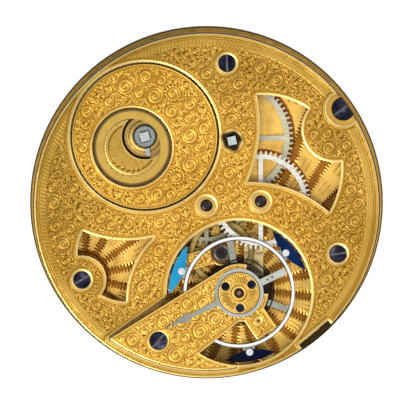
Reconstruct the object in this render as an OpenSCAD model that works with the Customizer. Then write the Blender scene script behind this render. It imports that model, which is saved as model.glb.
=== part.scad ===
// Pocket watch movement: key wound, key set, centre seconds, duplex escapement.
// Millimetres. The origin is the centre of the dial seat and +Z points to the back.

/* [Plates] */
// Diameter over the case flange of the lower plate
flange_d = 46; // [45.4:0.1:50]
// Height of the case flange
flange_h = 1.2; // [0.9:0.1:1.6]
// Diameter of the lower plate above its flange
lower_plate_d = 44.6; // [44.4:0.1:45.2]
// Thickness of the lower plate
lower_plate_h = 2; // [1.8:0.1:2.6]
// Depth of the recess on the dial side
recess_depth = 1; // [1:0.05:1.2]
// Diameter of the recess on the dial side
recess_d = 39; // [36:0.5:39.5]
// Space between the two plates
plate_gap = 4.2; // [4:0.1:5]
// Diameter of the top plate
top_plate_d = 45.2; // [45:0.1:45.4]
// Thickness of the top plate
top_plate_h = 1.2; // [1.1:0.1:1.6]
// Radius of the three dial-foot holes
dial_foot_r = 0.6; // [0.58:0.02:0.7]
// Radius of the circle the dial-foot holes lie on
dial_foot_circle_r = 20.8; // [20.6:0.1:21.4]

/* [Layout] */
// Barrel axis, X
barrel_x = -8.05; // [-9:0.05:-7.5]
// Barrel axis, Y
barrel_y = 9.02; // [8.5:0.05:9.6]
// Centre wheel axis, X
centre_x = 3.33; // [3:0.05:3.6]
// Centre wheel axis, Y
centre_y = 8.5; // [8.2:0.05:8.8]
// Third wheel axis, X
third_x = 7.08; // [6.9:0.05:7.3]
// Third wheel axis, Y
third_y = 0.54; // [0.3:0.05:0.8]
// Escape wheel axis, X
escape_x = 1.96; // [1.8:0.02:2.1]
// Escape wheel axis, Y
escape_y = -6.35; // [-6.5:0.05:-6.2]
// Balance axis, X
balance_x = 4.25; // [4:0.05:4.5]
// Balance axis, Y
balance_y = -11.4; // [-11.6:0.05:-11.2]

/* [Train] */
// Teeth on the barrel
barrel_teeth = 64; // [48:8:80]
// Teeth on the centre wheel
centre_teeth = 72; // [54:9:81]
// Teeth on the third wheel
third_teeth = 60; // [52:4:68]
// Teeth on the fourth wheel
fourth_teeth = 40; // [30:5:50]
// Leaves on the centre pinion
centre_leaves = 8; // [6:1:10]
// Leaves on the third pinion
third_leaves = 9; // [7:1:10]
// Leaves on the seconds pinion
seconds_leaves = 8; // [6:1:10]
// Leaves on the escape pinion
escape_leaves = 10; // [8:1:12]
// Thickness of the train wheels
wheel_h = 0.42; // [0.3:0.02:0.5]
// Height between wheels that pass over each other
level_gap = 0.3; // [0.2:0.02:0.36]
// Radius of the train arbors
arbor_r = 0.4; // [0.3:0.02:0.5]
// Radius of the train pivots
pivot_r = 0.22; // [0.15:0.01:0.28]
// Running clearance round pivots and journals
run_fit = 0.04; // [0.02:0.01:0.08]
// End shake between shoulders and bearings
end_shake = 0.06; // [0.03:0.01:0.1]
// Radius of the bushes in the top plate
bush_r = 1.18; // [1:0.02:1.4]
// Radius of the oil sinks
oil_sink_r = 0.78; // [0.6:0.02:0.9]

/* [Barrel and stop-work] */
// Radius of the barrel lid and drum
barrel_r = 9.58; // [9.2:0.02:9.7]
// Gap between the lid and the top plate
barrel_gap = 0.16; // [0.1:0.02:0.3]
// Wall of the drum
drum_wall = 0.6; // [0.4:0.05:0.9]
// Floor of the drum
drum_floor = 0.45; // [0.35:0.05:0.6]
// Height of the barrel teeth
barrel_tooth_h = 0.7; // [0.5:0.05:0.8]
// Thickness of the lid
lid_h = 0.9; // [0.8:0.05:1.1]
// Radius of the barrel core on the arbor
core_r = 2.5; // [2.2:0.1:3]
// Radius of the barrel arbor in its bearings
journal_r = 0.95; // [0.9:0.02:1.1]
// Side of the winding square
winding_square = 1.2; // [1:0.05:1.25]
// Side of the hand-setting square
setting_square = 1.1; // [0.9:0.05:1.2]
// Height of the squares above the top plate
square_rise = 0.6; // [0.3:0.05:1.2]
// Radius of the stop-work recess in the lid
stop_recess_r = 5.24; // [5:0.02:5.5]
// Depth of the stop-work recess
stop_depth = 0.5; // [0.3:0.02:0.52]
// Distance from the arbor to the middle of the recess
stop_offset = 2.17; // [2:0.02:2.3]
// Direction from the arbor to the middle of the recess
stop_angle = 221; // [200:1:240]
// Inner radius of the stop ring
stop_ring_r = 3.68; // [3.5:0.02:3.9]
// Thickness of the stop ring
stop_ring_h = 0.16; // [0.1:0.02:0.2]
// Gap between the stop ring and the wall of its recess
stop_ring_gap = 0.26; // [0.1:0.02:0.4]
// Notches in the inner edge of the stop ring
stop_notches = 6; // [4:1:8]
// Direction of the first of those notches
stop_notch_angle = 212; // [180:1:240]
// Angle from one notch to the next
stop_notch_pitch = 13.6; // [10:0.2:16]
// Radius of the round pocket the stop finger turns in
finger_pocket_r = 3; // [2.9:0.02:3.1]
// Reach of the stop finger
finger_reach = 2.72; // [2.5:0.02:2.8]
// Radius of the collar of the stop finger
finger_collar_r = 1.5; // [1.3:0.02:1.7]
// Width of the arm of the stop finger
finger_w = 0.64; // [0.4:0.02:0.8]
// Direction of the stop finger
finger_angle = -79; // [-90:1:-60]
// Thickness of the mainspring band
mainspring_t = 0.25; // [0.15:0.01:0.35]
// Turns of the mainspring
mainspring_turns = 6; // [4:0.5:7]
// Teeth on the ratchet wheel
ratchet_teeth = 24; // [24:12:36]
// Tip radius of the ratchet wheel
ratchet_r = 3.1; // [2.8:0.05:3.4]
// Thickness of the ratchet wheel and click
ratchet_h = 0.45; // [0.35:0.05:0.5]

/* [Balance] */
// Outer radius of the balance rim
rim_r = 7.3; // [7:0.02:7.32]
// Width of the balance rim
rim_w = 0.54; // [0.5:0.02:0.8]
// Height of the balance rim
rim_h = 0.62; // [0.5:0.02:0.7]
// Outer radius of the blued wings
wing_r = 9.15; // [9:0.02:9.2]
// Inner radius of the blued wings
wing_inner_r = 7.72; // [7.6:0.02:8]
// Half angle of a wing
wing_half_angle = 21; // [16:0.5:24]
// Outer radius of the scalloped lugs under the wings
lug_r = 8.4; // [8.2:0.02:8.5]
// Half angle of a lug
lug_half_angle = 8; // [6:0.5:12]
// Thickness of the wings
wing_h = 0.25; // [0.15:0.01:0.3]
// Direction of the first wing
wing_angle = 40; // [30:1:50]
// Direction of the first balance arm
arm_angle = 100; // [90:1:110]
// Width of the balance arms
arm_w = 0.85; // [0.6:0.05:1.1]
// Radius of the balance staff
staff_r = 0.42; // [0.35:0.01:0.5]
// Radius of the ruby roller
roller_r = 0.33; // [0.3:0.01:0.34]
// Reach of the impulse finger
impulse_reach = 1.45; // [1.35:0.01:1.5]
// Radius of the outer coil of the hairspring
hairspring_r = 4.45; // [4.2:0.05:4.6]
// Distance between the coils of the hairspring
hairspring_pitch = 0.6; // [0.58:0.01:0.7]
// Thickness of the hairspring
hairspring_t = 0.1; // [0.06:0.01:0.12]
// Height of the hairspring
hairspring_h = 0.2; // [0.12:0.01:0.25]
// Radius of the hairspring collet
collet_r = 0.8; // [0.7:0.02:0.9]

/* [Cock and regulator] */
// Radius of the balance opening in the top plate
opening_r = 9.45; // [9.4:0.02:9.6]
// Thickness of the cock table
cock_h = 0.95; // [0.8:0.05:1.1]
// Height of the cock above the top plate
cock_proud = 0.25; // [0.15:0.05:0.4]
// Radius of the cock head
cock_head_r = 3.78; // [3.6:0.02:3.9]
// Distance of the cock foot from the edge of the top plate
cock_foot_inset = 1.1; // [1:0.05:1.6]
// Direction of the long edge of the cock
cock_edge_angle = 31.8; // [31:0.1:33]
// Direction of the short edge of the cock
cock_side_angle = 38.7; // [38:0.1:40]
// Where the cock foot ends at the rim, X
cock_end_x = 3.9; // [3:0.1:5]
// Gap between the cock and the top plate
cock_gap = 0.1; // [0.06:0.01:0.2]
// Angle by which the gap opens along the long edge
cock_gap_angle = 3.6; // [2:0.1:5]
// Cock screw, X
cock_screw_x = -6.26; // [-7:0.05:-6]
// Cock screw, Y
cock_screw_y = -17.67; // [-17.8:0.05:-17.3]
// Radius of the foot under the cock
cock_foot_post_r = 1.9; // [1.6:0.1:2.2]
// Width of the stud arm
stud_arm_w = 3; // [2.6:0.1:3.2]
// Length of the stud arm from the balance axis
stud_arm_len = 6.4; // [6:0.1:6.8]
// Direction of the stud arm
stud_angle = -55.6; // [-60:0.2:-50]
// Radius of the end-piece
endpiece_r = 2.74; // [2.6:0.02:2.8]
// Thickness of the end-piece
endpiece_h = 0.42; // [0.4:0.02:0.6]
// Radius of the regulator ring
regulator_r = 3.2; // [3.1:0.02:3.3]
// Thickness of the regulator
regulator_h = 0.22; // [0.16:0.02:0.3]
// Direction of the regulator pointer
pointer_angle = 205.5; // [200:0.5:212]
// Reach of the regulator pointer
pointer_reach = 10.6; // [9:0.1:11]
// Reach of the regulator tail
tail_reach = 6.7; // [6:0.1:7]
// Width of the regulator tail
tail_w = 0.9; // [0.7:0.05:1.1]

/* [Screws] */
// Head radius of the plate screws
screw_head_r = 1.08; // [0.9:0.02:1.2]
// Head height of the plate screws
screw_head_h = 0.6; // [0.5:0.05:0.7]
// Shank radius of the plate screws
screw_r = 0.45; // [0.35:0.01:0.5]
// Clearance round screw heads and shanks
screw_fit = 0.08; // [0.04:0.01:0.12]
// Width of the screw slots
slot_w = 0.26; // [0.2:0.02:0.34]
// Depth of the screw slots
slot_depth = 0.26; // [0.2:0.02:0.3]
// Radius of the turned ends of the pillars
pillar_r = 1.35; // [1.2:0.05:1.6]
// Radius of the waist of the pillars
pillar_waist_r = 0.95; // [0.8:0.05:1.1]
// Head radius of the case screw
case_head_r = 1.48; // [1.3:0.02:1.6]
// Distance from the case screw axis to the flat on its head
case_flat = 0.62; // [0.5:0.02:0.7]
// Distance of the case screw from the edge of the top plate
case_screw_inset = 0.75; // [0.7:0.05:0.9]
// Direction of the case screw
case_screw_angle = 35.3; // [33:0.1:37]
// Radius of the sunk lobe round the case screw
case_lobe_r = 2.2; // [2:0.05:2.4]
// Depth of the sunk lobe round the case screw
case_lobe_depth = 0.2; // [0.1:0.02:0.3]
// Depth of the straight notch in the rim of the top plate
rim_notch_depth = 0.9; // [0.5:0.05:1.2]
// Length of the straight notch in the rim of the top plate
rim_notch_len = 5; // [3:0.1:6]
// Direction of the straight notch in the rim of the top plate
rim_notch_angle = -50; // [-60:1:-40]

/* [Dial side] */
// Teeth on the driving pinion and the cannon pinion
cannon_teeth = 16; // [12:2:20]
// Teeth on the minute wheel
minute_teeth = 32; // [24:2:40]
// Leaves on the minute wheel's pinion
minute_leaves = 6; // [6:1:8]
// Teeth on the hour wheel
hour_teeth = 36; // [30:2:48]
// Distance from the minute wheel to the two pinions it meets
minute_distance = 5.4; // [5:0.05:5.7]
// Thickness of the motion work wheels
motion_h = 0.32; // [0.25:0.01:0.34]
// Length of the hour pipe below the dial seat
hour_pipe_len = 1; // [0.6:0.1:1.4]
// Length of the minute pipe below the hour pipe
minute_pipe_len = 1; // [0.6:0.1:1.4]
// Length of the seconds post below the minute pipe
seconds_post_len = 0.8; // [0.5:0.1:1.2]
// Outer radius of the hour pipe
hour_pipe_r = 1.1; // [1.05:0.02:1.3]
// Outer radius of the minute pipe
minute_pipe_r = 0.74; // [0.7:0.01:0.78]
// Radius of the seconds post
seconds_post_r = 0.36; // [0.34:0.01:0.38]
// Radius of the minute hand's seat
minute_seat_r = 0.57; // [0.52:0.01:0.58]
// Radius of the seconds hand's seat
seconds_seat_r = 0.2; // [0.15:0.01:0.2]

/* [Hidden] */
$fn = 72;
eps = 0.02;

GILT = [0.85, 0.62, 0.22];
COCK_GILT = [0.93, 0.72, 0.3];
BRASS = [0.78, 0.64, 0.32];
STEEL = [0.84, 0.84, 0.82];
GREY_STEEL = [0.52, 0.55, 0.56];
BLUED = [0.1, 0.14, 0.34];
RUBY = [0.55, 0.08, 0.12];

// axes
BARREL = [barrel_x, barrel_y];
CENTRE = [centre_x, centre_y];
THIRD = [third_x, third_y];
SECONDS = [0, 0];
ESCAPE = [escape_x, escape_y];
BALANCE = [balance_x, balance_y];
COCK_SCREW = [cock_screw_x, cock_screw_y];
cock_screw_head_r = screw_head_r + 0.06;
cock_seat_wall = 0.1;
cock_foot_r = top_plate_d / 2 - cock_foot_inset;
PILLARS = [[2.67, 18.58], [-16.24, -9.72], [17.15, -6.32]];
PILLAR_SLOTS = [92, 30, 8];
BRIDGE_FOOT = [-4.9, -8.3];
STOP_CENTRE = BARREL + polar(stop_offset, stop_angle);
CASE_SCREW = polar(top_plate_d / 2 - case_screw_inset, case_screw_angle);
CLICK_PIVOT = BARREL + polar(ratchet_r + 1.7, 250);

// levels, from the dial seat up
web_top = lower_plate_h;
centre_wheel_z = web_top + level_gap;
fourth_wheel_z = centre_wheel_z + wheel_h + level_gap;
barrel_z = fourth_wheel_z + wheel_h + level_gap;
escape_wheel_h = 0.25;
upright_h = 0.35;
escape_wheel_z = barrel_z;
escape_top_z = escape_wheel_z + escape_wheel_h + upright_h;
third_wheel_z = escape_top_z + level_gap;
balance_z = third_wheel_z + wheel_h + level_gap + 0.15;
bridge_h = 0.6;
bridge_top_z = balance_z - level_gap;
bridge_z = bridge_top_z - bridge_h;
top_plate_z = lower_plate_h + plate_gap;
plate_top_z = top_plate_z + top_plate_h;
cock_top_z = plate_top_z + cock_proud;
cock_z = cock_top_z - cock_h;
wing_z = balance_z + rim_h - wing_h;
hairspring_z = balance_z + rim_h + 0.2;
lid_z = plate_top_z - lid_h;
stop_floor_z = plate_top_z - stop_depth;
finger_z = stop_floor_z + stop_ring_h + end_shake;
finger_h = plate_top_z - finger_z + 0.06;
square_top_z = plate_top_z + square_rise;
pivot_len = 0.7;
sink_depth = 0.45;

// pitch radii follow from the distances between the axes
function polar(r, a) = [r * cos(a), r * sin(a)];
function span(p, q) = norm(q - p);
function heading(p, q) = atan2(q[1] - p[1], q[0] - p[0]);
function gear_module(p, q, z1, z2) = 2 * span(p, q) / (z1 + z2);
// turn of the second gear that puts its gap on the first gear's tooth
function mesh_phase(p, q, z1, z2, phase1) =
    heading(p, q) + 180 + (heading(p, q) - phase1) * z1 / z2 + 180 / z2;

m_barrel = gear_module(BARREL, CENTRE, barrel_teeth, centre_leaves);
m_centre = gear_module(CENTRE, THIRD, centre_teeth, third_leaves);
m_third = gear_module(THIRD, SECONDS, third_teeth, seconds_leaves);
m_fourth = gear_module(SECONDS, ESCAPE, fourth_teeth, escape_leaves);
phase_centre = mesh_phase(BARREL, CENTRE, barrel_teeth, centre_leaves, 0);
phase_third = mesh_phase(CENTRE, THIRD, centre_teeth, third_leaves, 0);
phase_seconds = mesh_phase(THIRD, SECONDS, third_teeth, seconds_leaves, 0);
phase_escape = mesh_phase(SECONDS, ESCAPE, fourth_teeth, escape_leaves, 0);

// motion work: the minute wheel stands off the line between the two pinions it meets
half_span = span(CENTRE, SECONDS) / 2;
minute_offset = sqrt(minute_distance * minute_distance - half_span * half_span);
MINUTE = CENTRE / 2 + polar(minute_offset, heading(SECONDS, CENTRE) - 90);
m_minute = gear_module(CENTRE, MINUTE, cannon_teeth, minute_teeth);
m_hour = gear_module(MINUTE, SECONDS, minute_leaves, hour_teeth);
phase_minute = mesh_phase(CENTRE, MINUTE, cannon_teeth, minute_teeth, 0);
phase_cannon = mesh_phase(MINUTE, SECONDS, minute_teeth, cannon_teeth, phase_minute);
phase_hour = mesh_phase(MINUTE, SECONDS, minute_leaves, hour_teeth, 0);
hour_wheel_z = 0.08;
motion_z = hour_wheel_z + motion_h + 0.1;
hour_pipe_z = -hour_pipe_len;
minute_pipe_z = hour_pipe_z - minute_pipe_len;
seconds_post_z = minute_pipe_z - seconds_post_len;
seat_step = 0.05;
ratchet_z = recess_depth - ratchet_h - 0.2;

// tooth forms: radial flanks below the pitch circle, a pointed arch above it
wheel_addendum = 1.1;
wheel_dedendum = 1.35;
wheel_tooth = 0.43;
leaf_addendum = 0.6;
leaf_dedendum = 1.55;
leaf_tooth = 0.34;

function arch(r, add, ded, half) = [
    [r - ded, -half], [r, -half], [r + 0.6 * add, -0.66 * half], [r + add, -0.16 * half],
    [r + add, 0.16 * half], [r + 0.6 * add, 0.66 * half], [r, half], [r - ded, half]
];

function gear_points(z, m, add, ded, tooth) = [
    for (i = [0 : z - 1], p = arch(z * m / 2, add * m, ded * m, tooth * 180 / z))
        polar(p[0], p[1] + i * 360 / z)
];

module wheel_outline(z, m) polygon(gear_points(z, m, wheel_addendum, wheel_dedendum, wheel_tooth));

module pinion_leaves(z, m, h, phase) {
    rotate(phase)
        linear_extrude(h)
            polygon(gear_points(z, m, leaf_addendum, leaf_dedendum, leaf_tooth));
}

// a crossed-out wheel: toothed rim, arms and hub with a bore
module crossed_wheel(z, m, h, arms, rim, hub, arm, bore) {
    linear_extrude(h)
        difference() {
            wheel_outline(z, m);
            difference() {
                circle(r = z * m / 2 - wheel_dedendum * m - rim);
                circle(r = hub);
                for (i = [0 : arms - 1])
                    rotate(i * 360 / arms)
                        translate([0, -arm / 2])
                            square([z * m, arm]);
            }
            circle(r = bore);
        }
}

module at(p, z = 0) {
    translate([p[0], p[1], z])
        children();
}

module rod(r, z0, z1) {
    translate([0, 0, z0])
        cylinder(r = r, h = z1 - z0);
}

module bore(r, z0, z1) rod(r, z0 - eps, z1 + eps);

// slotted screw with its head top at z = 0
module slotted_screw(head_r, head_h, shank_r, length, slot_angle) {
    difference() {
        union() {
            rod(head_r, -head_h, 0);
            rod(shank_r, -length, -head_h + eps);
        }
        rotate(slot_angle)
            translate([-2 * head_r, -slot_w / 2, -slot_depth])
                cube([4 * head_r, slot_w, 2 * slot_depth]);
    }
}

module square_rod(side, z0, z1) {
    translate([-side / 2, -side / 2, z0])
        cube([side, side, z1 - z0]);
}

// turned arbor: thick body with a thinner pivot at each end
module arbor(z0, z1, body_r, low_len, high_len) {
    rod(body_r, z0, z1);
    rod(pivot_r, z0 - low_len, z0 + eps);
    rod(pivot_r, z1 - eps, z1 + high_len);
}

// flat spiral band of rectangular section, one unbroken strip
function spiral(r0, r1, turns, a0, steps) = [
    for (i = [0 : steps]) [r0 + (r1 - r0) * i / steps, a0 + turns * 360 * i / steps]
];

function band(path, t) = concat(
    [for (p = path) polar(p[0] + t / 2, p[1])],
    [for (i = [len(path) - 1 : -1 : 0]) polar(path[i][0] - t / 2, path[i][1])]
);

// least gap of a spiral to itself, measured between points over half a turn apart
function least_gap(path, t, apart) = min([
    for (i = [0 : len(path) - 1], j = [i + apart : 1 : len(path) - 1])
        norm(polar(path[i][0], path[i][1]) - polar(path[j][0], path[j][1]))
]) - t;

function eased(t) = t * t * (3 - 2 * t);

steps_per_turn = 24;
// the outer end runs at one radius where the curb pins slide, then steps in to the spiral
hairspring_free_arc = 120;
hairspring_step_arc = 45;
hairspring_step = hairspring_pitch * 0.4;
hairspring_inner = collet_r + hairspring_t / 2;
hairspring_turns = (hairspring_r - hairspring_step - hairspring_inner) / hairspring_pitch;
hairspring_path = concat(
    [for (a = [0 : 10 : hairspring_free_arc]) [hairspring_r, stud_angle + a]],
    [for (a = [5 : 5 : hairspring_step_arc - 5]) [
        hairspring_r - hairspring_step * eased(a / hairspring_step_arc),
        stud_angle + hairspring_free_arc + a
    ]],
    spiral(hairspring_r - hairspring_step, hairspring_inner, hairspring_turns,
        stud_angle + hairspring_free_arc + hairspring_step_arc, ceil(hairspring_turns * steps_per_turn))
);
mainspring_outer = barrel_r - drum_wall - mainspring_t / 2 - 0.02;
mainspring_inner = core_r + mainspring_t / 2 + 0.02;
mainspring_path = spiral(mainspring_inner, mainspring_outer, mainspring_turns, 20,
    ceil(mainspring_turns * steps_per_turn));
echo(hairspring_least_gap = least_gap(hairspring_path, hairspring_t, 14));
echo(mainspring_least_gap = least_gap(mainspring_path, mainspring_t, 12));

// plates

module lower_plate() {
    screw_bore_z = web_top - 0.9;
    color(GILT)
        difference() {
            union() {
                cylinder(d = flange_d, h = flange_h);
                cylinder(d = lower_plate_d, h = lower_plate_h);
            }
            bore(recess_d / 2, -1, recess_depth - eps);
            for (i = [0 : 2])
                at(polar(dial_foot_circle_r, 100 + 120 * i))
                    bore(dial_foot_r, 0, lower_plate_h);
            for (p = PILLARS)
                at(p)
                    bore(pillar_tenon_r, recess_depth, web_top);
            at(BARREL)
                bore(journal_r + run_fit, recess_depth, web_top);
            at(CENTRE)
                bore(centre_pipe_r + run_fit, recess_depth, web_top);
            for (p = [THIRD, ESCAPE])
                at(p)
                    bore(pivot_r + run_fit, recess_depth, web_top);
            at(SECONDS)
                bore(seconds_post_r + run_fit, recess_depth, web_top);
            at(BALANCE)
                bore(lower_jewel_r, recess_depth, web_top);
            at(BRIDGE_FOOT)
                bore(bridge_screw_r + screw_fit, recess_depth, web_top);
            for (s = [-1, 1])
                at(POTENCE + [0, s * potence_tenon_spread])
                    bore(potence_tenon_r, recess_depth, web_top);
            at(COCK_SCREW)
                bore(screw_r + screw_fit, recess_depth, web_top);
            at(MINUTE)
                bore(minute_stud_r, recess_depth, web_top);
            at(CLICK_PIVOT)
                bore(click_screw_r, recess_depth, web_top);
            at(CLICK_SPRING_FOOT)
                bore(click_pin_r, recess_depth, web_top);
            for (s = [-1, 1])
                at(BALANCE + polar(lower_cap_screw_circle, lower_cap_angle + 90 + 90 * s))
                    bore(lower_cap_screw_r, recess_depth, web_top);
        }
}

POTENCE = [6.15, -7.3];
potence_len = 4.5;
potence_w = 2.5;
potence_h = 0.5;
potence_foot_len = 1.3;
potence_foot_h = 0.8;
potence_slope = 0.4;
potence_tenon_r = 0.4;
potence_tenon_spread = 1.5;

// low bar on the lower plate beside the escape wheel, riveted by two tenons
module potence() {
    half = potence_len / 2;
    step = half - potence_foot_len;
    color(COCK_GILT)
        at(POTENCE, web_top) {
            rotate([90, 0, 90])
                translate([0, 0, -potence_w / 2])
                    linear_extrude(potence_w)
                        polygon([
                            [-half, 0], [half, 0], [half, potence_foot_h], [step, potence_foot_h],
                            [step - potence_slope, potence_h], [potence_slope - half, potence_h],
                            [-half, potence_h / 2]
                        ]);
            for (s = [-1, 1])
                at([0, s * potence_tenon_spread])
                    rod(potence_tenon_r, recess_depth - web_top, eps);
        }
}

pillar_tenon_r = 0.75;
pillar_ring_h = 0.45;
pillar_neck_z = pillar_ring_h + 0.35;
pillar_bore_depth = 2.3;

module pillars() {
    h = plate_gap;
    color(GILT)
        for (p = PILLARS)
            at(p, web_top)
                difference() {
                    union() {
                        rotate_extrude()
                            polygon([
                                [0, 0], [pillar_r, 0], [pillar_r, pillar_ring_h],
                                [pillar_waist_r, pillar_neck_z], [pillar_waist_r, h - pillar_neck_z],
                                [pillar_r, h - pillar_ring_h], [pillar_r, h], [0, h]
                            ]);
                        rod(pillar_tenon_r, recess_depth - web_top, eps);
                    }
                    bore(screw_r + screw_fit / 2, h - pillar_bore_depth, h);
                }
}

// windows cut through the top plate, each bounded by round arcs: [X, Y, radius]
TRAIN_OUTER = [7.38, 3.98, 10.47];
TRAIN_CORNERS = [5.45, 5.06, 12.11];
TRAIN_BARREL_SIDE = [-11.37, 10.64, 18.34];
TRAIN_BALANCE_SIDE = [5.63, -12.48, 15.57];
TRAIN_LOBE = [16.71, 9.97, 4.35];
FAN_OUTER = [-10.51, -6.26, 6.29];
FAN_BARREL_SIDE = [-10.38, 9.86, 14.43];
FAN_COCK_SIDE = [0.76, -12.38, 11.26];
fan_pillar_lobe_r = 3.19;

module disc(arc) {
    translate([arc[0], arc[1]])
        circle(r = arc[2]);
}

module train_window() {
    difference() {
        intersection() {
            disc(TRAIN_OUTER);
            disc(TRAIN_CORNERS);
        }
        disc(TRAIN_BARREL_SIDE);
        disc(TRAIN_BALANCE_SIDE);
        disc(TRAIN_LOBE);
    }
}

module fan_window() {
    difference() {
        disc(FAN_OUTER);
        disc(FAN_BARREL_SIDE);
        disc(FAN_COCK_SIDE);
        translate(PILLARS[1])
            circle(r = fan_pillar_lobe_r);
    }
}

// where the cock's short edge leaves its head, and its tip at the rim
COCK_SIDE = BALANCE + polar(3.55, -86);
cock_tip_angle = 234.1;
far = 30;

// the cock in plan; grow widens it and open_angle swings its long edge away
module cock_arm(grow, open_angle) {
    edge = BALANCE + polar(cock_head_r + grow, cock_edge_angle + 90);
    tip = polar(cock_foot_r, cock_tip_angle);
    long_dir = cock_edge_angle + open_angle;
    swing = edge + polar(span(edge, tip) * sin(open_angle), cock_edge_angle + 90);
    intersection() {
        circle(r = cock_foot_r + grow);
        polygon([
            swing, swing - polar(far, long_dir), [cock_end_x + grow, -far], [cock_end_x + grow, -far * 0.6],
            COCK_SIDE + polar(grow, cock_side_angle - 90), BALANCE
        ]);
    }
    // the foot carries the seat of its screw, whatever the size of the plate
    translate(COCK_SCREW)
        circle(r = cock_screw_head_r + screw_fit + cock_seat_wall + grow);
}

module cock_outline() {
    difference() {
        union() {
            difference() {
                cock_arm(0, 0);
                // the balance opening shows beside the arm
                intersection() {
                    translate(BALANCE)
                        circle(r = opening_r);
                    polygon([
                        COCK_SIDE, COCK_SIDE - polar(far, cock_side_angle), [far, -far], [far, COCK_SIDE[1]]
                    ]);
                }
            }
            translate(BALANCE)
                circle(r = cock_head_r);
            translate(BALANCE)
                rotate(stud_angle)
                    translate([0, -stud_arm_w / 2])
                        square([stud_arm_len, stud_arm_w]);
        }
        // free sector for the curb pins
        translate(BALANCE)
            difference() {
                polygon([[0, 0], polar(9, -2), polar(9, 36), polar(9, 74)]);
                circle(r = endpiece_r - 0.2);
            }
    }
}

module top_plate() {
    color(GILT)
        difference() {
            rod(top_plate_d / 2, top_plate_z, plate_top_z);
            translate([0, 0, top_plate_z - eps])
                linear_extrude(top_plate_h + 2 * eps) {
                    train_window();
                    fan_window();
                    cock_arm(cock_gap, cock_gap_angle);
                }
            at(BARREL)
                bore(barrel_r + barrel_gap, top_plate_z, plate_top_z);
            at(BALANCE)
                bore(opening_r, top_plate_z, plate_top_z);
            at(CENTRE) {
                bore(centre_pipe_r + run_fit, top_plate_z, plate_top_z);
                bore(setting_sink_r, centre_top_z, plate_top_z);
            }
            for (p = [THIRD, SECONDS])
                at(p)
                    bore(bush_r, top_plate_z, plate_top_z);
            for (p = PILLARS)
                at(p) {
                    bore(screw_r + screw_fit, top_plate_z, plate_top_z);
                    bore(screw_head_r + screw_fit, plate_top_z - screw_head_h, plate_top_z);
                }
            // case screw: its hole, the seat of its head and the sunk lobe round it
            at(CASE_SCREW) {
                bore(case_shank_r + screw_fit, top_plate_z, plate_top_z);
                bore(case_head_r + screw_fit, plate_top_z - case_head_h - end_shake, plate_top_z);
                bore(case_lobe_r, plate_top_z - case_lobe_depth, plate_top_z);
            }
            // straight notch in the rim
            rotate(rim_notch_angle)
                translate([top_plate_d / 2 - rim_notch_depth, -rim_notch_len / 2, top_plate_z - eps])
                    cube([2 * rim_notch_depth, rim_notch_len, top_plate_h + 2 * eps]);
        }
}

module plate_screws() {
    color(BLUED)
        for (i = [0 : 2])
            at(PILLARS[i], plate_top_z)
                slotted_screw(screw_head_r, screw_head_h, screw_r, top_plate_h + pillar_bore_depth - 0.4,
                    PILLAR_SLOTS[i]);
}

case_head_h = 0.5;
case_shank_r = 0.45;

module case_screw() {
    color(BLUED)
        at(CASE_SCREW, plate_top_z)
            difference() {
                slotted_screw(case_head_r, case_head_h, case_shank_r, top_plate_h, 35);
                rotate(case_screw_angle)
                    translate([case_flat, -2, -case_head_h - eps])
                        cube([2, 4, case_head_h + 1]);
            }
}

// bushes

module top_bush(axis) {
    color(BRASS)
        at(axis)
            difference() {
                rod(bush_r, top_plate_z, plate_top_z);
                bore(pivot_r + run_fit, top_plate_z, plate_top_z);
                bore(oil_sink_r, plate_top_z - sink_depth, plate_top_z);
            }
}

module third_bush() top_bush(THIRD);

module seconds_bush() top_bush(SECONDS);

// barrel

drum_top_z = lid_z;
core_z = barrel_z + drum_floor + end_shake;
core_top_z = lid_z - end_shake;

module barrel_drum() {
    color(BRASS)
        at(BARREL)
            difference() {
                union() {
                    translate([0, 0, barrel_z])
                        linear_extrude(barrel_tooth_h)
                            wheel_outline(barrel_teeth, m_barrel);
                    rod(barrel_r, barrel_z, drum_top_z);
                }
                bore(barrel_r - drum_wall, barrel_z + drum_floor + eps, drum_top_z);
                bore(journal_r + run_fit, barrel_z, barrel_z + drum_floor);
            }
}

module barrel_lid() {
    color(GILT)
        difference() {
            at(BARREL)
                rod(barrel_r, lid_z, plate_top_z);
            at(BARREL)
                bore(journal_r + run_fit, lid_z, plate_top_z);
            at(STOP_CENTRE)
                bore(stop_recess_r, stop_floor_z + eps, plate_top_z);
        }
}

module stop_ring() {
    notch_depth = 0.22;
    notch_w = 0.18;
    color(BRASS)
        at(STOP_CENTRE)
            difference() {
                rod(stop_recess_r - stop_ring_gap, stop_floor_z, stop_floor_z + stop_ring_h);
                bore(stop_ring_r, stop_floor_z, stop_floor_z + stop_ring_h);
                for (i = [0 : stop_notches - 1])
                    rotate(stop_notch_angle + stop_notch_pitch * i)
                        translate([stop_ring_r - notch_depth, -notch_w / 2, stop_floor_z - eps])
                            cube([2 * notch_depth, notch_w, stop_ring_h + 2 * eps]);
            }
}

module stop_crescent() {
    color(GILT)
        difference() {
            at(STOP_CENTRE)
                rod(stop_ring_r - run_fit, stop_floor_z, plate_top_z);
            at(BARREL)
                bore(finger_pocket_r, stop_floor_z, plate_top_z);
        }
}

module mainspring() {
    color(GREY_STEEL)
        at(BARREL, core_z)
            linear_extrude(core_top_z - core_z)
                polygon(band(mainspring_path, mainspring_t));
}

module barrel_arbor() {
    collar_r = 1.8;
    color(GREY_STEEL)
        at(BARREL) {
            rod(journal_r, recess_depth - 0.1, barrel_z + drum_floor + 0.1);
            rod(collar_r, web_top + end_shake, barrel_z - end_shake);
            rod(core_r, core_z, core_top_z);
            rod(journal_r, core_top_z - eps, finger_z);
            rotate(square_angle) {
                square_rod(winding_square, finger_z - eps, square_top_z);
                square_rod(ratchet_square, ratchet_z, recess_depth);
            }
        }
}

ratchet_square = 1.25;

square_angle = 15;

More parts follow.
